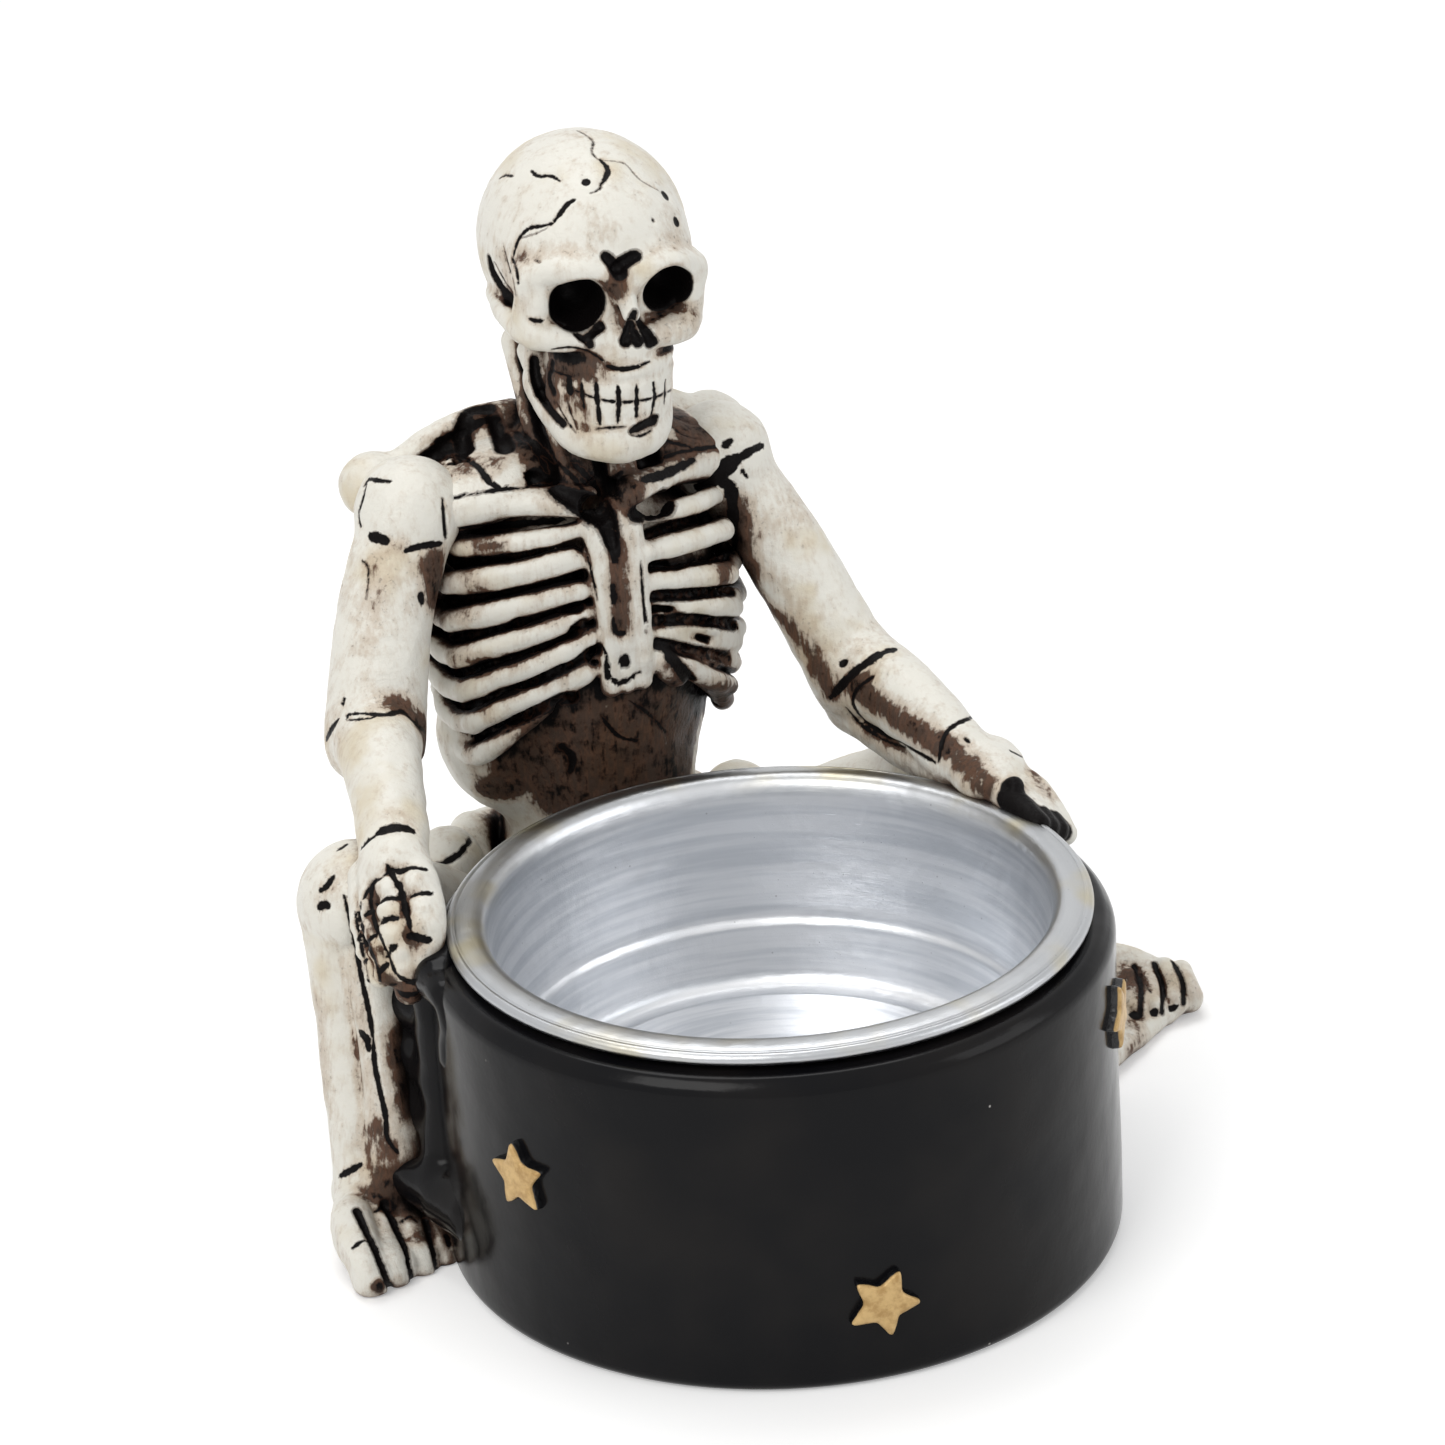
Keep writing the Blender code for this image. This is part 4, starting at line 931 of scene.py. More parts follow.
TORSO_STAINS = (
    (1.4, 0.80, ((500, 790), (508, 765), (525, 738))),
    (0.8, 0.75, ((450, 690), (458, 725), (470, 760), (480, 790))),
    (0.8, 0.60, ((432, 690), (436, 720), (445, 750))),
    (0.9, 0.60, ((470, 700), (500, 735))),
    (0.8, 0.60, ((480, 548), (500, 545))),
    (0.6, 0.60, ((470, 590), (480, 588))),
    (0.7, 0.60, ((474, 660), (486, 664))),
    (0.9, 0.75, ((712, 510), (722, 545), (726, 590), (728, 640))),
    (0.9, 0.60, ((672, 665), (700, 700), (720, 725))),
    (1.5, 0.75, ((668, 408), (690, 425), (716, 432))),
    (1.1, 0.70, ((655, 452), (690, 446), (722, 436))),
    (1.2, 0.60, ((730, 420), (748, 430))),
    (1.0, 0.60, ((430, 455), (455, 437), (480, 418))),
    (1.2, 0.50, ((420, 486), (455, 470), (490, 462))),
    (1.2, 0.70, ((520, 440), (545, 462), (575, 480))),
    (0.8, 0.60, ((600, 478), (620, 490), (636, 505))),
    (0.6, 0.60, ((613, 545), (616, 580), (618, 628))),
    (0.6, 0.50, ((458, 690), (475, 715), (490, 745))),
    (0.7, 0.50, ((452, 655), (458, 676))),
    (0.6, 0.50, ((460, 620), (470, 612))),
    (0.7, 0.45, ((465, 570), (480, 565))),
    (1.6, 0.80, ((520, 745), (545, 722), (580, 700))),
    (2.4, 0.80, ((585, 700), (620, 710), (650, 705))),
    (2.6, 0.80, ((600, 745), (660, 740), (680, 720))),
)
TORSO_HOLLOWS = (
    (0.5, 1.1, ((556, 489), (575, 499), (592, 509))),
    (1.1, 0.4, ((592, 508), (606, 520), (613, 546))),
    (0.5, 1.0, ((636, 514), (683, 493), (716, 478))),
    (0.45, 0.45, ((470, 409), (490, 407))),
    (0.5, 0.6, ((404, 476), (424, 462), (446, 447))),
    (0.4, 0.8, ((466, 415), (462, 436), (463, 452))),
    (0.5, 0.7, ((495, 422), (500, 434), (505, 447))),
)
NEAR_ARM_LINES = (
    (0.70, 1.0, ((369, 536), (377, 538), (386, 541))),
    (0.45, 1.0, ((405, 551), (418, 547), (431, 545), (443, 544))),
    (0.35, 0.9, ((363, 486), (368, 479), (378, 480), (391, 481))),
    (0.26, 0.9, ((366, 484), (362, 500), (358, 516), (361, 528))),
    (0.30, 0.9, ((443, 498), (444, 515), (446, 540))),
    (0.20, 0.8, ((362, 560), (368, 570), (366, 600))),
    (0.55, 1.0, ((446, 545), (447, 580), (446, 620))),
    (0.60, 0.8, ((421, 594), (423, 603))),
    (0.45, 1.0, ((325, 740), (331, 729), (338, 718))),
    (0.26, 1.0, ((347, 719), (349, 714), (370, 713), (371, 717), (348, 720))),
    (0.50, 1.0, ((371, 714), (386, 714), (402, 711), (414, 721), (428, 734))),
    (0.20, 0.9, ((341, 704), (344, 698), (343, 706))),
    (0.30, 1.0, ((360, 849), (367, 841), (376, 834))),
    (0.75, 1.0, ((377, 833), (388, 828), (404, 827), (414, 830))),
    (0.35, 1.0, ((362, 899), (372, 884), (384, 874), (391, 870))),
    (0.40, 1.0, ((390, 870), (401, 871), (412, 867), (428, 869))),
    (0.20, 0.9, ((387, 864), (389, 871), (393, 876))),
    (0.50, 1.0, ((392, 874), (400, 887), (405, 905), (410, 934))),
    (0.40, 1.0, ((373, 884), (371, 902), (377, 930), (388, 958), (396, 976))),
    (0.36, 1.0, ((360, 902), (359, 916), (365, 940), (376, 966), (380, 984))),
    (0.26, 0.9, ((355, 912), (360, 940), (364, 962), (370, 990))),
    (0.30, 1.0, ((409, 897), (420, 893), (434, 893))),
    (0.60, 1.0, ((409, 936), (418, 938), (430, 941))),
    (0.35, 1.0, ((376, 905), (387, 898), (402, 899))),
    (0.35, 1.0, ((380, 923), (388, 919), (398, 918))),
    (0.40, 1.0, ((387, 957), (391, 949), (396, 946))),
    (0.50, 1.0, ((398, 977), (410, 983), (426, 981))),
    (0.30, 1.0, ((364, 916), (368, 913), (374, 911))),
    (0.30, 1.0, ((367, 943), (371, 938), (376, 935))),
    (0.35, 1.0, ((379, 973), (383, 968), (388, 964))),
    (0.26, 1.0, ((358, 939), (361, 935))),
    (0.26, 1.0, ((363, 964), (367, 959))),
    (0.45, 0.9, ((394, 990), (405, 996), (418, 994))),
    (0.35, 0.9, ((395, 1002), (408, 1006), (420, 1002))),
    (0.30, 0.9, ((388, 985), (394, 1000), (392, 1012))),
    (0.30, 0.9, ((428, 985), (430, 1000), (426, 1012))),
)
NEAR_ARM_STAINS = (
    (1.3, 0.72, ((434, 565), (437, 600), (436, 640), (432, 680), (424, 705))),
    (0.8, 0.80, ((443, 560), (444, 600), (443, 650), (438, 690))),
    (0.7, 0.30, ((375, 560), (372, 600), (368, 650))),
    (1.2, 0.45, ((408, 712), (420, 724), (426, 745))),
    (0.9, 0.65, ((422, 730), (427, 760), (427, 800))),
    (0.8, 0.35, ((385, 705), (397, 702))),
    (0.7, 0.30, ((395, 812), (405, 818))),
    (1.4, 0.60, ((398, 992), (415, 1000), (425, 985))),
    (0.7, 0.45, ((405, 905), (410, 925))),
    (0.6, 0.35, ((392, 545), (398, 548))),
    (0.6, 0.55, ((366, 930), (374, 955), (384, 978))),
    (0.5, 0.50, ((375, 890), (376, 912))),
    (0.6, 0.50, ((408, 940), (416, 944))),
)
# Each finger's radii from the knuckle to the tip, and then its points.
NEAR_FINGERS = (
    (
        (1.7, 1.5, 1.35, 1.1),
        ((-22.8, 12.5, 29.2), (-22.7, 9.6, 28.2), (-23.2, 7.2, 25.9), (-24.2, 7.0, 22.6)),
    ),
    (
        (1.6, 1.25, 1.15, 1.1),
        ((-23.9, 12.5, 29.0), (-24.4, 9.8, 28.0), (-25.0, 8.0, 26.0), (-24.8, 7.6, 23.6)),
    ),
    (
        (1.4, 1.15, 1.0, 0.95),
        ((-24.6, 13.0, 28.6), (-25.6, 11.2, 27.2), (-26.1, 9.2, 25.2), (-25.7, 8.2, 22.8)),
    ),
    (
        (1.3, 1.1, 0.9, 0.8),
        ((-25.2, 14.0, 27.8), (-26.0, 12.6, 26.0), (-26.4, 11.0, 24.2), (-26.2, 9.6, 22.0)),
    ),
)
NEAR_KNUCKLES = (
    (1.15, ((416, 884), (421, 908), (419, 925))),
    (0.95, ((389, 887), (390, 910))),
    (1.20, ((394, 934), (402, 948))),
    (1.45, ((407, 964),)),
    (0.75, ((368, 905), (369, 926), (377, 950), (384, 974))),
    (0.55, ((357, 926), (363, 952), (371, 976))),
    (1.10, ((410, 990),)),
)
FAR_ARM_LINES = (
    (1.3, 1.0, ((699, 491), (713, 478), (725, 469), (738, 459))),
    (0.6, 1.0, ((733, 463), (748, 453), (764, 445))),
    (0.5, 0.9, ((724, 446), (732, 440))),
    (0.9, 1.0, ((722, 482), (731, 492), (733, 530), (735, 567))),
    (0.3, 0.9, ((742, 470), (748, 478))),
    (0.3, 0.9, ((735, 565), (742, 586), (755, 605), (772, 624))),
    (0.7, 1.0, ((896, 648), (877, 655), (853, 673), (830, 698))),
    (0.5, 0.9, ((840, 665), (846, 661))),
    (0.4, 1.0, ((873, 676), (856, 690), (853, 706), (867, 723), (900, 743), (934, 762))),
    (0.3, 0.9, ((846, 708), (860, 724), (880, 738), (906, 748))),
    (0.35, 1.0, ((972, 717), (954, 725), (943, 738), (938, 762))),
    (0.3, 0.9, ((1010, 750), (1022, 756), (1030, 764), (1033, 783))),
    (0.3, 0.8, ((965, 738), (969, 742))),
    (0.3, 0.8, ((992, 728), (1000, 733))),
    (0.4, 1.0, ((1001, 790), (1010, 782), (1022, 780))),
)
FAR_ARM_STAINS = (
    (1.2, 0.60, ((733, 505), (742, 545), (752, 580))),
    (0.9, 0.62, ((768, 605), (792, 632), (818, 668), (828, 690))),
    (0.6, 0.30, ((765, 570), (790, 600), (815, 640))),
    (1.1, 0.74, ((862, 692), (885, 710), (912, 728), (932, 742))),
    (0.9, 0.40, ((848, 685), (866, 676))),
    (1.2, 0.68, ((952, 748), (966, 765), (985, 785))),
    (0.8, 0.50, ((1035, 775), (1050, 795))),
    (0.8, 0.40, ((875, 735), (905, 752))),
)
NEAR_LEG_LINES = (
    (0.40, 1.0, ((319, 891), (326, 886), (334, 875))),
    (0.55, 1.0, ((318, 908), (323, 905), (328, 906))),
    (0.30, 0.9, ((338, 850), (347, 843))),
    (
        0.40,
        1.0,
        (
            (344, 896),
            (353, 934),
            (361, 978),
            (370, 1020),
            (375, 1070),
            (385, 1114),
            (387, 1138),
            (398, 1153),
        ),
    ),
    (0.60, 1.0, ((358, 1032), (366, 1040), (368, 1050))),
    (0.45, 1.0, ((339, 1176), (349, 1171), (361, 1164))),
    (0.30, 0.9, ((352, 1248), (358, 1243), (366, 1239))),
    (0.26, 0.8, ((374, 1212), (384, 1207), (392, 1211))),
    (0.26, 0.8, ((401, 1222), (410, 1216), (418, 1222))),
    (0.50, 0.8, ((446, 1232), (450, 1246))),
)
NEAR_LEG_STAINS = (
    (1.4, -0.60, ((371, 1280), (400, 1278), (425, 1268))),
    (0.7, 0.30, ((350, 960), (358, 1010), (366, 1070), (376, 1120))),
    (0.9, 0.78, ((396, 1036), (400, 1072), (406, 1110))),
    (1.8, 0.55, ((376, 1146), (386, 1166), (392, 1186))),
    (0.9, 0.35, ((384, 1196), (410, 1208))),
    (0.8, 0.30, ((318, 1000), (322, 1060), (328, 1110))),
    (0.8, 0.40, ((420, 1240), (423, 1262))),
    (0.7, 0.30, ((402, 1262), (398, 1276))),
    (0.9, 0.25, ((325, 890), (345, 870))),
)
NEAR_TOES = (
    (1.55, 1.55, ((352, 1216), (364, 1256), (371, 1277))),
    (1.05, 1.15, ((376, 1212), (386, 1244), (396, 1276))),
    (1.05, 1.15, ((404, 1212), (414, 1240), (424, 1268))),
    (0.95, 1.00, ((432, 1222), (441, 1242), (447, 1262))),
    (0.70, 0.75, ((456, 1232), (462, 1246), (466, 1257))),
)
NEAR_TOE_GAPS = (
    (0.26, 0.20, ((357, 1211), (366, 1230), (378, 1256), (390, 1289))),
    (0.30, 0.20, ((385, 1204), (397, 1230), (405, 1250), (412, 1281))),
    (0.20, 0.18, ((425, 1221), (432, 1246), (438, 1272))),
    (0.18, 0.16, ((455, 1222), (459, 1242), (461, 1262))),
)
FAR_TOES = (
    (0.85, 1.05, ((1127, 978), (1134, 1010))),
    (1.00, 1.20, ((1145, 972), (1151, 1008))),
    (1.00, 1.20, ((1164, 970), (1173, 1002))),
    (0.95, 1.15, ((1180, 968), (1189, 998))),
)
FAR_TOE_GAPS = (
    (0.14, 0.20, ((1134, 966), (1141, 987), (1141, 1015))),
    (0.14, 0.20, ((1154, 963), (1162, 987), (1163, 1012))),
    (0.12, 0.18, ((1173, 962), (1182, 981), (1184, 1003))),
)
# The far foot's brown-grey patches: painted shade, for the foot in shadow.
FAR_FOOT_PAINTED_SHADE = (
    (1.6, 0.26, ((1130, 975), (1160, 985), (1185, 985))),
    (1.0, 0.42, ((1128, 1020), (1140, 1035), (1130, 1052))),
    (0.6, 0.45, ((1134, 975), (1138, 1000))),
)
FAR_LEG_LINES = (
    (0.16, 0.8, ((1138, 974), (1145, 982), (1151, 993))),
    (0.6, 1.0, ((1132, 1015), (1138, 1016))),
    (0.5, 1.0, ((1152, 1013), (1158, 1012))),
    (0.5, 1.0, ((1171, 1009), (1177, 1007))),
)


def joint_line(piece, centre, way, radius, width):
    """A dark line in uneven strokes on the side of a limb away from the picture."""
    side = np.cross(way, (0, 0, 1.0))
    side = side / np.linalg.norm(side)
    other = np.cross(way, side)
    noise = np.random.default_rng(int(1000 + 10 * abs(centre[0]) + centre[2]))
    start = noise.uniform(0, 2)
    while start < 2 * math.pi:
        stop = start + noise.uniform(0.5, 1.5)
        path = []
        for a in np.arange(start, stop, 0.16):
            out = side * math.cos(a) + other * math.sin(a)
            if np.dot(out, FORWARD) > 0.1:
                path.append(centre + way * noise.normal(0, 0.07) + radius * out)
        if len(path) > 3:
            piece.line(path, width, 0.25)
        start = stop + noise.uniform(0.1, 1.0)


def near_hand_clay(piece):
    """The near hand lies over the knee, and its fingers hang down beside the pot."""
    piece.add(Bar([NEAR["wrist"], (-23.4, 12.6, 29.0)], (2.5, 2.6), 0), 0.6)
    for radii, path in NEAR_FINGERS:
        piece.add(Bar(path, radii, 12), 0.35)
    piece.knobs(NEAR_KNUCKLES, 0.8, 0.2)


def far_hand_clay(piece):
    """The far hand lies on the pot's rim with its fingers towards the front."""
    wrist = point(*FAR_SIDE["wrist"])
    palm = mixed(wrist, beside_pot(19, 0.2, 26.2), 0.5)
    piece.add(Ball(palm, (2.9, 4.0, 2.0), (0, 0, -20)), 0.6)
    for number in range(4):
        share = number / 3
        gap = -2.2 + 3.2 * share
        start = wrist + (-0.9 + 2.0 * share, 0.2, 0.3 - 0.7 * share)
        knuckle = beside_pot(19 - 1.5 * share, gap + 0.3, 26.7 - 1.2 * share)
        tip = beside_pot(6.5 + 3.0 * share, gap + 0.4, 25.3 - 2.2 * share)
        piece.add(Bar([start, knuckle, tip], (1.3, 1.15, 0.9), 12), 0.35)
    coat = piece.seen(smooth_path(((1008, 801), (1028, 806), (1046, 817), (1060, 831)), 10))
    piece.lines.append((Bar(coat, np.linspace(1.0, 1.7, 10), 0), 0.5, 1.0))
    thumb = ((1014, 786),)
    piece.knobs(((0.75, thumb),), 0.3)
    piece.lines.append((Ball(piece.seen(thumb)[0], (1.0, 1.0, 1.0)), 0.4, 1.0))


def leg_clay(name, side, spot, step):
    """Thigh, knee, a shin of two bones and the ankle; the foot is added by its own function."""
    knee, ankle = point(*spot["knee"]), point(*spot["ankle"])
    socket = point(side * 9.8, 35.0, 10.5)
    if name == "near":
        low, high = (-34.5, 3.0, -0.6), (-7.5, 40.5, 30.5)
    else:
        low, high = (7.5, 5.5, -0.6), (44.5, 40.5, 26.0)
    piece = Piece(low, high, step)
    middle = mixed(socket, knee, 0.5) + point(side * 1.6, 1.2, 0.4)
    piece.add(Bar([socket, middle, knee], (4.2, 3.85, 3.6), 8), 0.1)
    piece.add(Ball(knee, (4.3, 4.3, 4.1)), 0.8)
    away = knee * (1, 1, 0) / np.hypot(knee[0], knee[1])
    across = np.cross((0, 0, 1.0), away) * side
    half = mixed(knee, ankle, 0.5)
    outer = [knee + 1.3 * away - (0, 0, 1.0), half + 1.5 * away + 0.7 * across, ankle + away]
    inner = [
        knee - 0.8 * away - 1.5 * across - (0, 0, 2.0),
        half - 1.5 * away - 1.5 * across,
        ankle - 1.4 * away - 0.6 * across + (0, 0, 2.4),
    ]
    piece.add(Bar(outer, (3.0, 2.5, 2.45), 8), 0.6)
    piece.add(Bar(inner, (1.95, 1.75, 2.1), 8), 0.25)
    groove = [mixed(a, b, 0.5) - across * 0.2 for a, b in zip(outer, inner)]
    for shift in (-1.9,) if side < 0 else (1.7, -1.9):
        path = [p - across * shift for p in groove]
        piece.cut(Bar(path, (0.5, 0.6, 0.4), 8), 0.5)
        piece.dab(Bar(path, (0.8, 0.9, 0.8), 8), 0.7, 0.5)
    piece.add(Ball(ankle - (0, 0, 0.8), (3.4, 3.5, 3.3)), 0.5)
    return piece


def foot_clay(piece, heel, toe_middle, big_toe_side):
    """A flat foot: an arched instep and five toes side by side, the big one on one edge."""
    heel, toe_middle = point(*heel), point(*toe_middle)
    along = (toe_middle - heel) * (1, 1, 0)
    along = along / np.linalg.norm(along)
    across = point(along[1], -along[0], 0) * big_toe_side
    piece.add(Ball(heel, (3.1, 3.3, 3.0)), 0.6)
    offset = -4.7
    for number, size in enumerate((1.45, 1.08, 1.0, 0.95, 0.9)):
        radius = 1.05 * size
        offset += radius * 0.86
        tip = toe_middle - across * offset - along * 0.55 * number
        tip[2] = radius * 0.95
        knuckle = tip - along * 4.0
        knuckle[2] = 2.5
        root = mixed(heel, knuckle, 0.35)
        root[2] = 3.9
        piece.add(Bar([root, knuckle, tip], (1.35 * radius, 1.2 * radius, 0.98 * radius), 10), 0.4)
        offset += radius * 0.86
    piece.dab(Ball(mixed(heel, toe_middle, 0.5), (4.5, 4.5, 3.4)), 0.25, 1.4)


def beside_pot(angle, gap, height):
    """A place outside the pot's wall: the angle is from +X, and the gap is from the wall."""
    a = math.radians(angle)
    return point((POT_RADIUS + gap) * math.cos(a), (POT_RADIUS + gap) * math.sin(a), height)


def web_clay(step):
    """The black resin that joins the near leg, the near hand and the seat to the pot."""
    piece = Piece((-30.5, -1.0, -0.6), (5.5, 36.0, 28.0), step)
    shin = point(*NEAR["ankle"])
    piece.add(Bar([shin + (1.2, -2.6, 0.6), beside_pot(172, -2.0, 5.4)], (1.5, 2.9), 0), 0.1)
    skin = [beside_pot(167, -0.4, 23.0), beside_pot(175, -0.9, 22.4), beside_pot(173, -1.0, 18.0)]
    piece.add(Bar(skin, (1.5, 1.2, 1.2), 10), 1.0)
    strip = [beside_pot(161, -0.2, 21), beside_pot(160, -0.4, 13), beside_pot(162, -0.2, 6)]
    piece.add(Bar(strip, (1.6, 1.5, 2.0), 8), 1.0)
    for height, radius in ((9.0, 2.6), (13.0, 2.4), (17.0, 2.0)):
        bone = mixed(NEAR["ankle"], NEAR["knee"], height / 24.6)
        piece.add(Bar([bone + (1.0, 0, 0), beside_pot(158, -1.5, height)], (1.3, radius), 0), 1.2)
    puddle = [beside_pot(184, -0.6, 4.0), beside_pot(191, -0.7, 8.0), beside_pot(188, -0.9, 12.0)]
    piece.add(Bar(puddle, (1.1, 1.3, 0.9), 8), 1.2)
    touch = point(-21.3, 7.4, 24.2)
    piece.add(Bar([touch, beside_pot(166, -1.0, 23.2)], (1.3, 1.7), 0), 0.6)
    piece.add(Bar([(0, 36, 5), (0, 22.5, 4.5)], (4.3, 4.3), 0), 0.3)
    piece.clay.ripple(2.0, 0.08, 9)
    return piece


def turned(name, profile, steps, wobble=0.0):
    """A turned mesh. The profile's points run from the axis, over the top, to the axis."""
    profile = np.array(profile, float)
    turns = np.linspace(0.0, 2.0 * math.pi, steps, endpoint=False)
    radius = profile[:, 0][None, :] * np.ones((steps, 1))
    height = profile[:, 1][None, :] * np.ones((steps, 1))
    if wobble:
        swing = np.sin(3 * turns + 0.4)[:, None] + 0.6 * np.sin(7 * turns + 1.9)[:, None]
        radius = radius - wobble * (1.6 + swing * np.sin(0.31 * height)) * (radius > 23.0)
    points = np.stack(
        [radius * np.cos(turns)[:, None], radius * np.sin(turns)[:, None], height], axis=2
    ).reshape(-1, 3)
    count = len(profile)
    i, k = np.meshgrid(np.arange(steps), np.arange(count - 1), indexing="ij")
    after = (i + 1) % steps
    quads = np.stack(
        [i * count + k, i * count + k + 1, after * count + k + 1, after * count + k], axis=2
    ).reshape(-1, 4)
    return mesh_object(name, points, quads)


def round_profile(r, z, radius, start, end, steps):
    """Points along an arc of a profile, its angles in degrees."""
    return [
        (r + radius * math.cos(a), z + radius * math.sin(a))
        for a in np.radians(np.linspace(start, end, steps))
    ]


def evenly(profile, pitch):
    """The same profile with more points along its straight runs."""
    found = []
    for a, b in zip(profile, profile[1:]):
        count = max(int(math.dist(a, b) / pitch), 1)
        found += [tuple(mixed(a, b, n / count)) for n in range(count)]
    return found + [profile[-1]]


def pot_profile():
    """The pot from the floor inside it, over its edge, to the middle of its underside."""
    top = [(0.0, 8.8), (21.0, 8.8), (21.05, 9.0), (21.05, 24.2), (21.15, 24.38), (21.4, 24.4)]
    ridge = [(22.9, 24.38), (23.3, 24.33), (23.55, 24.33), (23.8, 24.2)]
    side = round_profile(22.95, 22.85, 1.55, 50, 0, 8)
    foot = round_profile(23.5, 1.0, 1.0, 0, -90, 7)
    return evenly(top + ridge + side + foot + [(0.0, 0.0)], 0.8)


def cup_profile():
    """The cup from the middle of its floor, over the rolled rim, to its underside."""
    floor = [(0.0, 10.1), (15.5, 10.1), (15.9, 10.05), (16.2, 9.8), (16.6, 9.7), (17.2, 9.75)]
    wall = [(17.75, 9.98), (18.1, 10.5), (18.25, 11.0), (18.8, 14.1), (18.86, 14.4), (19.05, 14.6)]
    mouth = [(19.2, 14.9), (20.0, 24.4), (20.12, 25.0), (20.35, 25.5), (20.75, 25.82), (21.2, 25.9)]
    flange = [(22.2, 25.72), (22.33, 25.66), (22.4, 25.56), (22.47, 25.64), (22.65, 25.62)]
    roll = round_profile(22.55, 25.17, 0.45, 70, -90, 8)
    under = [(21.3, 25.0), (20.75, 24.7), (20.6, 24.2), (19.5, 14.6), (18.7, 10.6), (17.4, 9.2)]
    return evenly(floor + wall + mouth + flange + roll + under + [(0.0, 9.2)], 0.9)


STAR_SIDES = 40
# The radius that a star's back is bent to, just inside the pot's wall.
STAR_SEAT = 24.4


def star_mesh(name, angle, height, turn, radius, relief):
    """A raised star bent to the pot's wall, its corners a little uneven."""
    noise = np.random.default_rng(int(500 + angle))
    bm = bmesh.new()
    rings = []
    for share, rise in ((1.04, -0.6), (1.0, 0.72 * relief), (0.93, relief), (0.5, relief * 1.02)):
        ring = []
        for i in range(STAR_SIDES):
            corner = 10.0 * i / STAR_SIDES
            k = int(corner)
            spots = []
            for n in (k, k + 1):
                out = radius * (1.0 if n % 2 == 0 else 0.5)
                a = math.radians(36.0 * n + 90.0 + turn)
                spots.append(point(out * math.cos(a), out * math.sin(a)))
            place = mixed(*spots, corner - k) * share
            round_off = 0.94 if k % 2 == 0 and corner == k else 1.0
            ring.append((*(place * round_off + noise.normal(0, 0.035, 2)), rise))
        rings.append([bm.verts.new(p) for p in ring])
    for a, b in zip(rings, rings[1:]):
        for i in range(STAR_SIDES):
            j = (i + 1) % STAR_SIDES
            bm.faces.new((a[i], a[j], b[j], b[i]))
    top = bm.verts.new((0.0, 0.0, relief * 1.03))
    for i in range(STAR_SIDES):
        bm.faces.new((rings[-1][i], rings[-1][(i + 1) % STAR_SIDES], top))
    for vert in bm.verts:
        across, up, out = vert.co
        a = math.radians(angle) + across / POT_RADIUS
        out += STAR_SEAT
        vert.co = Vector((out * math.cos(a), out * math.sin(a), height + up)) * MM
    mesh = bpy.data.meshes.new(name)
    bm.to_mesh(mesh)
    bm.free()
    mesh.shade_smooth()
    obj = placed(name, mesh)
    smooth = obj.modifiers.new("soft corners", "SUBSURF")
    smooth.levels = 1
    smooth.render_levels = 1
    return obj


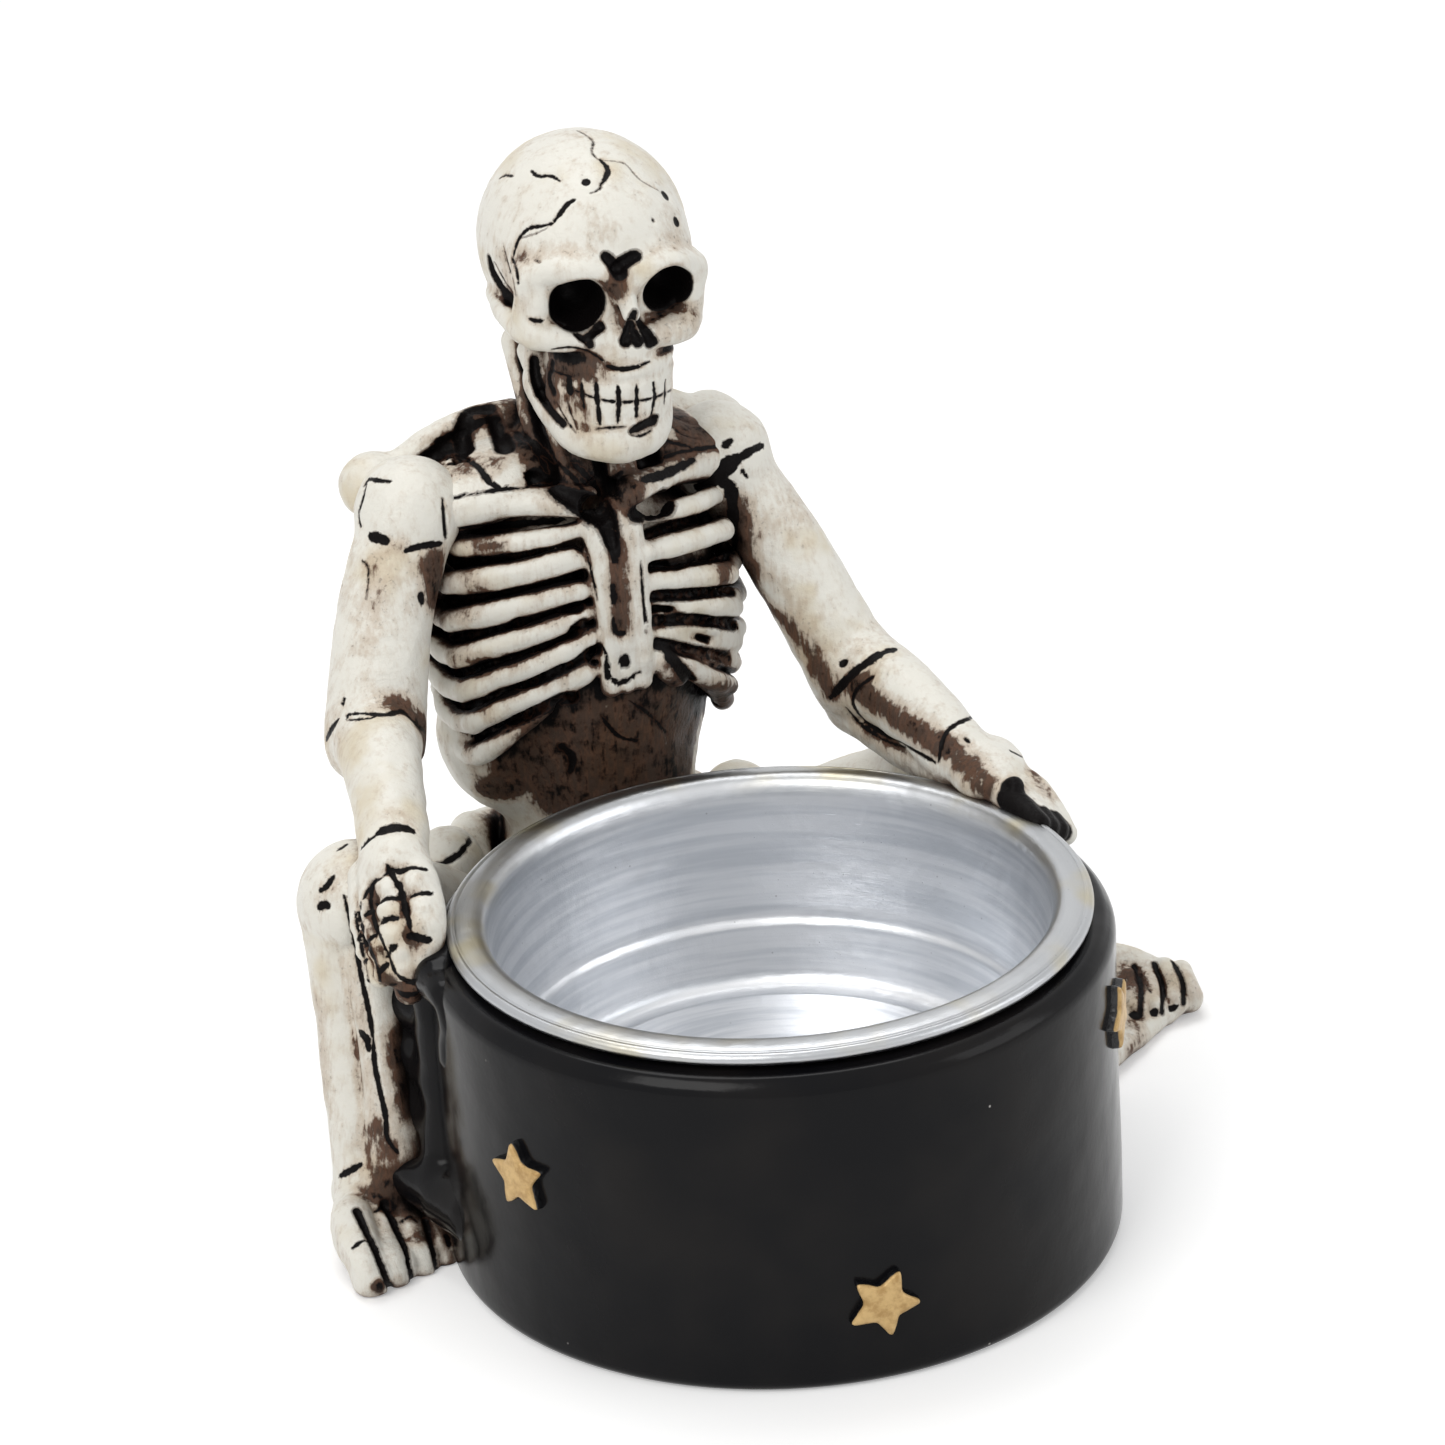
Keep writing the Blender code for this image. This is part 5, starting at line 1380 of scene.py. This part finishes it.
class Paint:
    """A material's node tree, with short ways to add and join its nodes."""

    def __init__(self, name):
        self.material = bpy.data.materials.new(name)
        self.material.use_nodes = True
        self.tree = self.material.node_tree
        self.shader = self.tree.nodes["Principled BSDF"]

    def node(self, kind, **settings):
        made = self.tree.nodes.new(kind)
        for key, value in settings.items():
            setattr(made, key, value)
        return made

    def join(self, value, socket):
        if hasattr(value, "is_output"):
            self.tree.links.new(value, socket)
        else:
            socket.default_value = value

    def math(self, operation, a, b=0.0, c=0.0):
        made = self.node("ShaderNodeMath", operation=operation)
        for value, socket in zip((a, b, c), made.inputs):
            self.join(value, socket)
        return made.outputs[0]

    def ramp(self, value, low, high, to_low=0.0, to_high=1.0):
        made = self.node("ShaderNodeMapRange", interpolation_type="SMOOTHSTEP")
        for number, socket in zip((value, low, high, to_low, to_high), made.inputs):
            self.join(number, socket)
        return made.outputs[0]

    def mix(self, share, a, b):
        made = self.node("ShaderNodeMix", data_type="RGBA")
        self.join(share, made.inputs[0])
        self.join(a if hasattr(a, "is_output") else (*a, 1.0), made.inputs[6])
        self.join(b if hasattr(b, "is_output") else (*b, 1.0), made.inputs[7])
        return made.outputs[2]

    def place(self, stretch=(1.0, 1.0, 1.0), turn=(0.0, 0.0, 0.0)):
        spot = self.node("ShaderNodeTexCoord").outputs["Object"]
        made = self.node("ShaderNodeMapping")
        self.join(spot, made.inputs["Vector"])
        made.inputs["Scale"].default_value = stretch
        made.inputs["Rotation"].default_value = turn
        return made.outputs[0]

    def split(self, vector):
        """The vector's X, Y and Z, and how far it is from the Z axis."""
        made = self.node("ShaderNodeSeparateXYZ")
        self.join(vector, made.inputs[0])
        x, y, z = made.outputs
        square = self.math("MULTIPLY_ADD", y, y, self.math("MULTIPLY", x, x))
        return x, y, z, self.math("SQRT", square)

    def noise(self, vector, size, detail=3.0, roughness=0.55):
        """Cloudy noise whose patches are about this many millimetres across."""
        made = self.node("ShaderNodeTexNoise")
        self.join(vector, made.inputs["Vector"])
        made.inputs["Scale"].default_value = 1.0 / (size * MM)
        made.inputs["Detail"].default_value = detail
        made.inputs["Roughness"].default_value = roughness
        return made.outputs[0]

    def specks(self, vector, size, radius):
        """Small round spots: 1 inside a spot, 0 outside."""
        made = self.node("ShaderNodeTexVoronoi")
        self.join(vector, made.inputs["Vector"])
        made.inputs["Scale"].default_value = 1.0 / (size * MM)
        return self.ramp(made.outputs["Distance"], radius, radius * 0.5)

    def attribute(self, name):
        return self.node("ShaderNodeAttribute", attribute_name=name).outputs["Fac"]

    def bump(self, height, depth, below=None):
        """Relief of this depth in millimetres, over another bump where one is given."""
        made = self.node("ShaderNodeBump")
        made.inputs["Strength"].default_value = 1.0
        made.inputs["Distance"].default_value = depth * MM
        self.join(height, made.inputs["Height"])
        if below is not None:
            self.join(below, made.inputs["Normal"])
        return made.outputs[0]

    def finish(self, **inputs):
        for label, value in inputs.items():
            socket = self.shader.inputs[label.replace("_", " ").title().replace("Ior", "IOR")]
            if not hasattr(value, "is_output") and socket.type == "RGBA":
                value = (*value, 1.0)
            self.join(value, socket)
        return self.material


def bone_paint(settings):
    """Cream bone under varnish, a brown wash in its hollows, near-black lines, painted shade where
    parts touch.
    """
    paint = Paint("painted_bone")
    spot = paint.place()
    broad = paint.noise(spot, 6.0)
    blotch = paint.noise(spot, 1.6, 5.0, 0.65)
    fine = paint.noise(spot, 0.35, 4.0, 0.7)
    streak = paint.noise(paint.place((1.0, 1.0, 0.16), (0.2, 0.1, 0.0)), 0.42, 4.0, 0.6)
    # Occlusion darkens the bone where pieces touch or crowd together: painted shade, added to the
    # brown wash that pools in those creases.
    open_air = paint.node("ShaderNodeAmbientOcclusion", samples=6)
    open_air.inputs["Distance"].default_value = 2.6 * MM
    contact_wash_and_shade = paint.ramp(open_air.outputs["AO"], 0.74, 0.12, 0.0, 0.6)
    # The wash here is the sculpted brown wash plus that painted shade.
    wash = paint.math("ADD", paint.attribute("wash"), contact_wash_and_shade)
    edge = paint.math("ADD", wash, paint.math("MULTIPLY_ADD", blotch, 0.9, -0.45))
    edge = paint.math("ADD", edge, paint.math("MULTIPLY_ADD", streak, 0.7, -0.35))
    edge = paint.math("MULTIPLY", edge, settings.wash)
    haze = paint.ramp(edge, -0.06, 0.42)
    stain_and_shade = paint.ramp(edge, 0.36, 0.58)
    thick = paint.ramp(edge, 0.74, 0.96)
    warm = paint.ramp(broad, 0.5, 0.72)
    cream = paint.mix(warm, settings.bone, settings.bone_warm)
    cream = paint.mix(paint.math("MULTIPLY", haze, 0.58), cream, settings.tan)
    faint = paint.math("MULTIPLY", paint.ramp(fine, 0.56, 0.7), paint.ramp(edge, 0.0, 0.3))
    cream = paint.mix(paint.math("MULTIPLY", faint, 0.5), cream, settings.brown)
    rusty = paint.mix(paint.ramp(streak, 0.42, 0.6), settings.brown, settings.rust)
    tinted = paint.mix(paint.math("MULTIPLY", stain_and_shade, 0.93), cream, rusty)
    dark = paint.mix(thick, tinted, settings.ink)
    line = paint.math("ADD", paint.attribute("ink"), paint.math("MULTIPLY_ADD", fine, 0.5, -0.25))
    rust = paint.mix(paint.ramp(line, 0.12, 0.3, 0.0, 0.55), dark, settings.brown)
    colour = paint.mix(paint.ramp(line, 0.36, 0.5), rust, settings.ink)
    rough = paint.math("MULTIPLY_ADD", blotch, 0.25, settings.gloss)
    relief = paint.bump(fine, 0.05, paint.bump(blotch, 0.16))
    covered = paint.math("MAXIMUM", stain_and_shade, paint.ramp(line, 0.2, 0.4))
    return paint.finish(
        base_color=colour,
        roughness=rough,
        normal=relief,
        specular_ior_level=paint.ramp(covered, 0.0, 1.0, settings.shine, 0.06),
    )


def black_paint(settings):
    """Gloss black paint over a cast surface, with a few pale specks: dust, and painted glints."""
    paint = Paint("black_gloss")
    spot = paint.place()
    broad = paint.noise(spot, 9.0, 2.0)
    fine = paint.noise(spot, 0.6, 4.0, 0.6)
    speck = paint.specks(spot, 3.4, 0.035)
    # Pale specks on the black: partly dust, partly painted glints of light.
    dust_and_glint = paint.math("MULTIPLY", speck, paint.ramp(paint.noise(spot, 5.0), 0.5, 0.6))
    colour = paint.mix(paint.ramp(broad, 0.35, 0.7), settings.black, settings.black_warm)
    colour = paint.mix(dust_and_glint, colour, (0.55, 0.53, 0.5))
    rough = paint.math("MULTIPLY_ADD", paint.noise(spot, 2.2), 0.16, 0.08)
    relief = paint.bump(fine, 0.012, paint.bump(broad, 0.22))
    return paint.finish(
        base_color=colour, roughness=rough, normal=relief, specular_ior_level=settings.shine
    )


def gold_paint(settings):
    """Gold paint brushed on the star's face, worn through to the black at its edges."""
    paint = Paint("gold_face")
    spot = paint.place()
    blotch = paint.noise(spot, 0.9, 4.0, 0.65)
    out = paint.math("MULTIPLY", paint.split(spot)[3], 1.0 / MM)
    out = paint.math("ADD", out, paint.math("MULTIPLY_ADD", blotch, 0.24, -0.12))
    face = paint.ramp(out, 24.88, 24.98)
    tone = paint.mix(paint.ramp(blotch, 0.35, 0.7), settings.gold, settings.gold_dark)
    colour = paint.mix(face, settings.black, tone)
    relief = paint.bump(paint.noise(spot, 0.4, 4.0), 0.05)
    return paint.finish(
        base_color=colour,
        roughness=paint.ramp(face, 0.0, 1.0, 0.15, 0.42),
        metallic=paint.math("MULTIPLY", face, 0.25),
        normal=relief,
    )


def metal_paint(settings):
    """Spun aluminium: fine strokes round the axis, small dents and a painted warm reflection on the
    rim.
    """
    paint = Paint("spun_metal")
    spot = paint.place()
    x, y, z, out = paint.split(spot)
    angle = paint.math("ARCTAN2", y, x)
    round_way = paint.node("ShaderNodeCombineXYZ")
    paint.join(paint.math("MULTIPLY", angle, 0.0012), round_way.inputs[0])
    paint.join(out, round_way.inputs[1])
    paint.join(z, round_way.inputs[2])
    strokes = paint.noise(round_way.outputs[0], 0.11, 3.0, 0.7)
    bands = paint.noise(round_way.outputs[0], 0.8, 2.0)
    grain = paint.noise(spot, 0.16, 3.0, 0.7)
    dents = paint.noise(spot, 2.6, 2.0)
    specks = paint.specks(spot, 1.9, 0.05)
    tint = paint.ramp(paint.noise(spot, 7.0, 2.0), 0.5, 0.72)
    rim = paint.ramp(paint.math("MULTIPLY", out, 1.0 / MM), 19.9, 20.6)
    colour = paint.mix(paint.ramp(bands, 0.35, 0.7), settings.metal, settings.metal_dark)
    colour = paint.mix(paint.math("MULTIPLY", rim, 0.75), colour, settings.metal_rim)
    # Warm patches on the rim: a painted reflection.
    warm_reflection = paint.math("MULTIPLY", paint.math("MULTIPLY", tint, rim), 0.6)
    colour = paint.mix(warm_reflection, colour, (0.50, 0.43, 0.24))
    colour = paint.mix(paint.math("MULTIPLY", specks, 0.5), colour, (0.25, 0.25, 0.26))
    rough = paint.math("MULTIPLY_ADD", grain, 0.2, settings.metal_gloss)
    relief = paint.bump(strokes, 0.012, paint.bump(grain, 0.012, paint.bump(dents, 0.1)))
    return paint.finish(
        base_color=colour, metallic=1.0, roughness=rough, normal=relief, anisotropic=0.35
    )


def colour(name, description, default):
    return FloatVectorProperty(
        name=name,
        description=description,
        default=default,
        subtype="COLOR",
        size=3,
        min=0.0,
        max=1.0,
    )


def number(name, description, default, **limits):
    return FloatProperty(name=name, description=description, default=default, **limits)


def fraction(name, description, default, most=1.0):
    return number(name, description, default, min=0.0, max=most)


def power(name, description, default):
    return number(name, description, default, unit="POWER")


class FigureSettings(bpy.types.PropertyGroup):
    skull_step: number("Skull Detail", "Clay grid of the skull, in millimetres", 0.145, min=0.1)
    body_step: number("Body Detail", "Clay grid of the body, in millimetres", 0.2, min=0.12)
    wash: fraction("Wash", "Strength of the brown wash", 1.0, 2.0)
    gloss: fraction("Varnish Roughness", "Roughness of the varnish", 0.24)
    shine: fraction("Varnish Shine", "Strength of the varnish's reflection", 0.3)
    bone: colour("Bone", "Bone paint", (0.80, 0.78, 0.71))
    bone_warm: colour("Warm Bone", "Yellower patches of the bone paint", (0.70, 0.63, 0.49))
    tan: colour("Tan", "Thin haze of wash round the hollows", (0.46, 0.34, 0.23))
    rust: colour("Rust", "Redder streaks in the brown wash", (0.088, 0.036, 0.019))
    brown: colour("Wash Brown", "Thin brown wash", (0.042, 0.018, 0.011))
    ink: colour("Wash Black", "Wash where it has pooled", (0.005, 0.004, 0.004))


class PotSettings(bpy.types.PropertyGroup):
    steps: IntProperty(name="Turn Steps", description="Faces round the pot", default=256, min=24)
    shine: fraction("Black Shine", "Strength of the black paint's reflection", 0.12)
    black: colour("Black", "Gloss black paint", (0.004, 0.004, 0.005))
    black_warm: colour("Warm Black", "Browner patches of the black", (0.009, 0.008, 0.008))
    gold: colour("Gold", "Gold paint of the stars", (0.62, 0.42, 0.18))
    gold_dark: colour("Dark Gold", "Darker patches of the gold", (0.40, 0.24, 0.08))
    star_radius: number("Star Radius", "Middle to point, in millimetres", 2.9, min=0.5)
    star_relief: number("Star Relief", "How far a star stands out, in millimetres", 0.8, min=0.1)


class CupSettings(bpy.types.PropertyGroup):
    steps: IntProperty(name="Turn Steps", description="Faces round the cup", default=256, min=24)
    metal: colour("Metal", "Spun aluminium", (0.74, 0.75, 0.77))
    metal_rim: colour("Metal Rim", "Duller metal of the rolled rim", (0.38, 0.39, 0.40))
    metal_dark: colour("Dark Metal", "Darker rings of the metal", (0.58, 0.60, 0.63))
    metal_gloss: fraction("Metal Roughness", "Roughness of the spun metal", 0.22)


class StageSettings(bpy.types.PropertyGroup):
    key: power("Key Light", "Power of the main light", 1.3)
    fill: power("Fill Light", "Power of the side light", 0.6)
    top: power("Top Light", "Power of the top light", 0.8)
    air: number("Air", "Strength of the room's even light", 0.45)
    floor: colour("Floor", "Pale floor", (0.9, 0.9, 0.9))
    lens: number("Lens", "Focal length of the camera", LENS)


# Clay grid of the black resin, in millimetres.
WEB_STEP = 0.25


def step_of(step):
    return step


def look(name, maker, settings):
    """The material of this name, made once."""
    return bpy.data.materials.get(name) or maker(settings)


def add_bones(context, piece, name, keep, place=None):
    """Puts a sculpted piece of the figure on the part, painted as bone."""
    bone = look("painted_bone", bone_paint, context.scene.holder_figure)
    seated(finished(piece, name, place, keep=keep), "figure_casting", bone)


class HOLDER_OT_skull(bpy.types.Operator):
    """Sculpt the skull with its teeth, sockets and cracks"""

    bl_idname = "holder.skull"
    bl_label = "Skull"

    def execute(self, context):
        piece = skull_clay(step_of(context.scene.holder_figure.skull_step))
        add_bones(context, piece, "skull", 0.9, skull_place())
        return {"FINISHED"}


class HOLDER_OT_torso(bpy.types.Operator):
    """Sculpt the rib cage, shoulders, neck, belly and pelvis"""

    bl_idname = "holder.torso"
    bl_label = "Torso"

    def execute(self, context):
        piece = torso_clay(step_of(context.scene.holder_figure.body_step))
        add_bones(context, piece, "torso", 0.41)
        return {"FINISHED"}


class HOLDER_OT_arms(bpy.types.Operator):
    """Sculpt both arms with their hands"""

    bl_idname = "holder.arms"
    bl_label = "Arms"

    def execute(self, context):
        step = step_of(context.scene.holder_figure.body_step)
        near = arm_clay("near", -1, NEAR, step)
        near_hand_clay(near)
        far = arm_clay("far", 1, FAR_SIDE, step)
        far_hand_clay(far)
        for piece, name, seed, lines, stains in (
            (near, "near_arm", 31, NEAR_ARM_LINES, NEAR_ARM_STAINS),
            (far, "far_arm", 33, FAR_ARM_LINES, FAR_ARM_STAINS),
        ):
            piece.clay.ripple(1.8, 0.05, seed)
            piece.trace(lines)
            piece.stain_and_shade(stains)
            piece.clay.ripple(0.6, 0.018, seed + 1)
            add_bones(context, piece, name, 0.8)
        return {"FINISHED"}


class HOLDER_OT_legs(bpy.types.Operator):
    """Sculpt both legs with their feet"""

    bl_idname = "holder.legs"
    bl_label = "Legs"

    def execute(self, context):
        step = step_of(context.scene.holder_figure.body_step)
        near = leg_clay("near", -1, NEAR, step)
        foot_clay(near, (-26.4, 14.8, 2.2), beside_pot(170, 2.6, 1.0), 1.0)
        far = leg_clay("far", 1, FAR_SIDE, step)
        foot_clay(far, (29.6, 21.9, 2.2), beside_pot(18.2, 15.0, 1.0), -1.0)
        for start, end, radii in (
            (beside_pot(26, -2.0, 2.2), (31.6, 17.3, 2.6), (2.6, 2.6)),
            (beside_pot(10, -1.0, 1.8), beside_pot(19.6, 17.4, 0.6), (1.8, 0.5)),
            (beside_pot(18, -1.0, 1.6), beside_pot(21, 15.5, 1.0), (2.2, 1.2)),
        ):
            far.add(Bar([start, end], radii, 0), 0.5)
        near.bones(NEAR_TOES)
        far.bones(FAR_TOES)
        near.stain_and_shade(NEAR_LEG_STAINS)
        far.stain_and_shade(FAR_FOOT_PAINTED_SHADE)
        for piece, name, seed, gaps, lines in (
            (near, "near_leg", 41, NEAR_TOE_GAPS, NEAR_LEG_LINES),
            (far, "far_leg", 43, FAR_TOE_GAPS, FAR_LEG_LINES),
        ):
            piece.clay.ripple(1.8, 0.05, seed)
            piece.carve(gaps)
            piece.trace(lines)
            piece.clay.ripple(0.6, 0.018, seed + 1)
            piece.clay.stand()
            add_bones(context, piece, name, 0.8)
        return {"FINISHED"}


class HOLDER_OT_pot(bpy.types.Operator):
    """Turn the gloss black pot, with the black resin that joins the figure to it"""

    bl_idname = "holder.pot"
    bl_label = "Pot"

    def execute(self, context):
        settings = context.scene.holder_pot
        black = look("black_gloss", black_paint, settings)
        pot = turned("pot", pot_profile(), settings.steps, 0.03)
        seated(pot, "figure_casting", black)
        web = web_clay(step_of(WEB_STEP))
        web.clay.stand()
        seated(finished(web, "resin_web"), "figure_casting", black)
        return {"FINISHED"}


class HOLDER_OT_stars(bpy.types.Operator):
    """Raise the three gold stars on the pot"""

    bl_idname = "holder.stars"
    bl_label = "Stars"

    def execute(self, context):
        settings = context.scene.holder_pot
        gold = look("gold_face", gold_paint, settings)
        for name, angle, height, turn in (
            ("star_near", -160.0, 13.9, 8.0),
            ("star_front", -97.6, 6.6, -27.0),
            ("star_far", -35.0, 18.2, 20.0),
        ):
            star = star_mesh(name, angle, height, turn, settings.star_radius, settings.star_relief)
            seated(star, "figure_casting", gold)
        return {"FINISHED"}


class HOLDER_OT_cup(bpy.types.Operator):
    """Turn the spun metal cup"""

    bl_idname = "holder.cup"
    bl_label = "Cup"

    def execute(self, context):
        settings = context.scene.holder_cup
        metal = look("spun_metal", metal_paint, settings)
        cup = turned("cup", cup_profile(), settings.steps)
        seated(cup, "candle_cup", metal)
        return {"FINISHED"}


def softbox(name, place, target, size, power, tint):
    """A rectangular light that faces the target."""
    light = bpy.data.lights.new(name, "AREA")
    light.shape = "RECTANGLE"
    light.size, light.size_y = size
    light.energy = power
    light.color = tint
    obj = placed(name, light)
    obj.location = place
    obj.rotation_euler = (Vector(target) - Vector(place)).to_track_quat("-Z", "Y").to_euler()


class HOLDER_OT_stage(bpy.types.Operator):
    """Set the pale floor, the white room, the soft lights and the camera"""

    bl_idname = "holder.stage"
    bl_label = "Stage"

    def execute(self, context):
        settings = context.scene.holder_stage
        scene = context.scene
        floor_mesh = bpy.data.meshes.new("floor")
        bm = bmesh.new()
        bmesh.ops.create_grid(bm, x_segments=1, y_segments=1, size=4.0)
        bm.to_mesh(floor_mesh)
        bm.free()
        floor = placed("floor", floor_mesh)
        paint = Paint("pale_floor")
        seen = paint.node("ShaderNodeLightPath")
        direct = paint.math("MAXIMUM", seen.outputs["Is Camera Ray"], seen.outputs["Is Glossy Ray"])
        paint.join(paint.math("MULTIPLY", direct, 0.3), paint.shader.inputs["Emission Strength"])
        white = (1.0, 1.0, 1.0)
        look_of_floor = paint.finish(
            base_color=settings.floor, roughness=0.8, emission_color=white
        )
        floor_mesh.materials.append(look_of_floor)
        self.light_room(scene, settings)
        middle = (0.0, 0.01, 0.03)
        softbox("key", (-0.34, -0.22, 0.42), middle, (0.30, 0.30), settings.key, (1.0, 0.99, 0.97))
        softbox("fill", (0.42, -0.30, 0.24), middle, (0.35, 0.30), settings.fill, (0.96, 0.98, 1.0))
        softbox("top", (0.02, 0.16, 0.50), middle, (0.34, 0.22), settings.top, (1.0, 1.0, 1.0))
        camera = bpy.data.cameras.new("camera")
        camera.lens = settings.lens
        camera.sensor_width = FILM
        camera.clip_start = 0.01
        seat = placed("camera", camera)
        forward, up = Vector(FORWARD), Vector(UP)
        turn = Matrix((forward.cross(up), up, -forward)).transposed().to_4x4()
        seat.matrix_world = Matrix.Translation([x * MM for x in EYE]) @ turn
        scene.camera = seat
        scene.view_settings.view_transform = "Standard"
        return {"FINISHED"}

    def light_room(self, scene, settings):
        """White where the camera looks past the object, and an even grey light elsewhere."""
        world = bpy.data.worlds.new("white_room")
        scene.world = world
        world.use_nodes = True
        tree = world.node_tree
        tree.nodes.clear()
        seen = tree.nodes.new("ShaderNodeLightPath")
        looked = seen.outputs["Is Camera Ray"]
        for label in ("Is Transmission Ray", "Is Glossy Ray"):
            either = tree.nodes.new("ShaderNodeMath")
            either.operation = "MAXIMUM"
            tree.links.new(looked, either.inputs[0])
            tree.links.new(seen.outputs[label], either.inputs[1])
            looked = either.outputs[0]
        either = tree.nodes.new("ShaderNodeMixShader")
        tree.links.new(looked, either.inputs[0])
        for number, strength in ((1, settings.air), (2, 1.0)):
            light = tree.nodes.new("ShaderNodeBackground")
            light.inputs["Color"].default_value = (1.0, 1.0, 1.0, 1.0)
            light.inputs["Strength"].default_value = strength
            tree.links.new(light.outputs[0], either.inputs[number])
        out = tree.nodes.new("ShaderNodeOutputWorld")
        tree.links.new(either.outputs[0], out.inputs["Surface"])


STEPS = (
    HOLDER_OT_skull,
    HOLDER_OT_torso,
    HOLDER_OT_arms,
    HOLDER_OT_legs,
    HOLDER_OT_pot,
    HOLDER_OT_stars,
    HOLDER_OT_cup,
    HOLDER_OT_stage,
)
SETTINGS = (
    ("holder_figure", FigureSettings),
    ("holder_pot", PotSettings),
    ("holder_cup", CupSettings),
    ("holder_stage", StageSettings),
)


class HOLDER_PT_panel(bpy.types.Panel):
    """The steps that build the candle holder, and its settings"""

    bl_idname = "HOLDER_PT_panel"
    bl_label = "Candle Holder"
    bl_space_type = "VIEW_3D"
    bl_region_type = "UI"
    bl_category = "Candle Holder"

    def draw(self, context):
        for step in STEPS:
            self.layout.operator(step.bl_idname)
        for name, group in SETTINGS:
            box = self.layout.box()
            settings = getattr(context.scene, name)
            for key in group.__annotations__:
                box.prop(settings, key)


def register():
    for name, group in SETTINGS:
        bpy.utils.register_class(group)
        setattr(bpy.types.Scene, name, PointerProperty(type=group))
    for step in (*STEPS, HOLDER_PT_panel):
        bpy.utils.register_class(step)


def unregister():
    for step in reversed((*STEPS, HOLDER_PT_panel)):
        bpy.utils.unregister_class(step)
    for name, group in reversed(SETTINGS):
        delattr(bpy.types.Scene, name)
        bpy.utils.unregister_class(group)


def main():
    register()
    bpy.ops.holder.skull()
    bpy.ops.holder.torso()
    bpy.ops.holder.arms()
    bpy.ops.holder.legs()
    bpy.ops.holder.pot()
    bpy.ops.holder.stars()
    bpy.ops.holder.cup()
    bpy.ops.holder.stage()


if __name__ == "__main__":
    main()
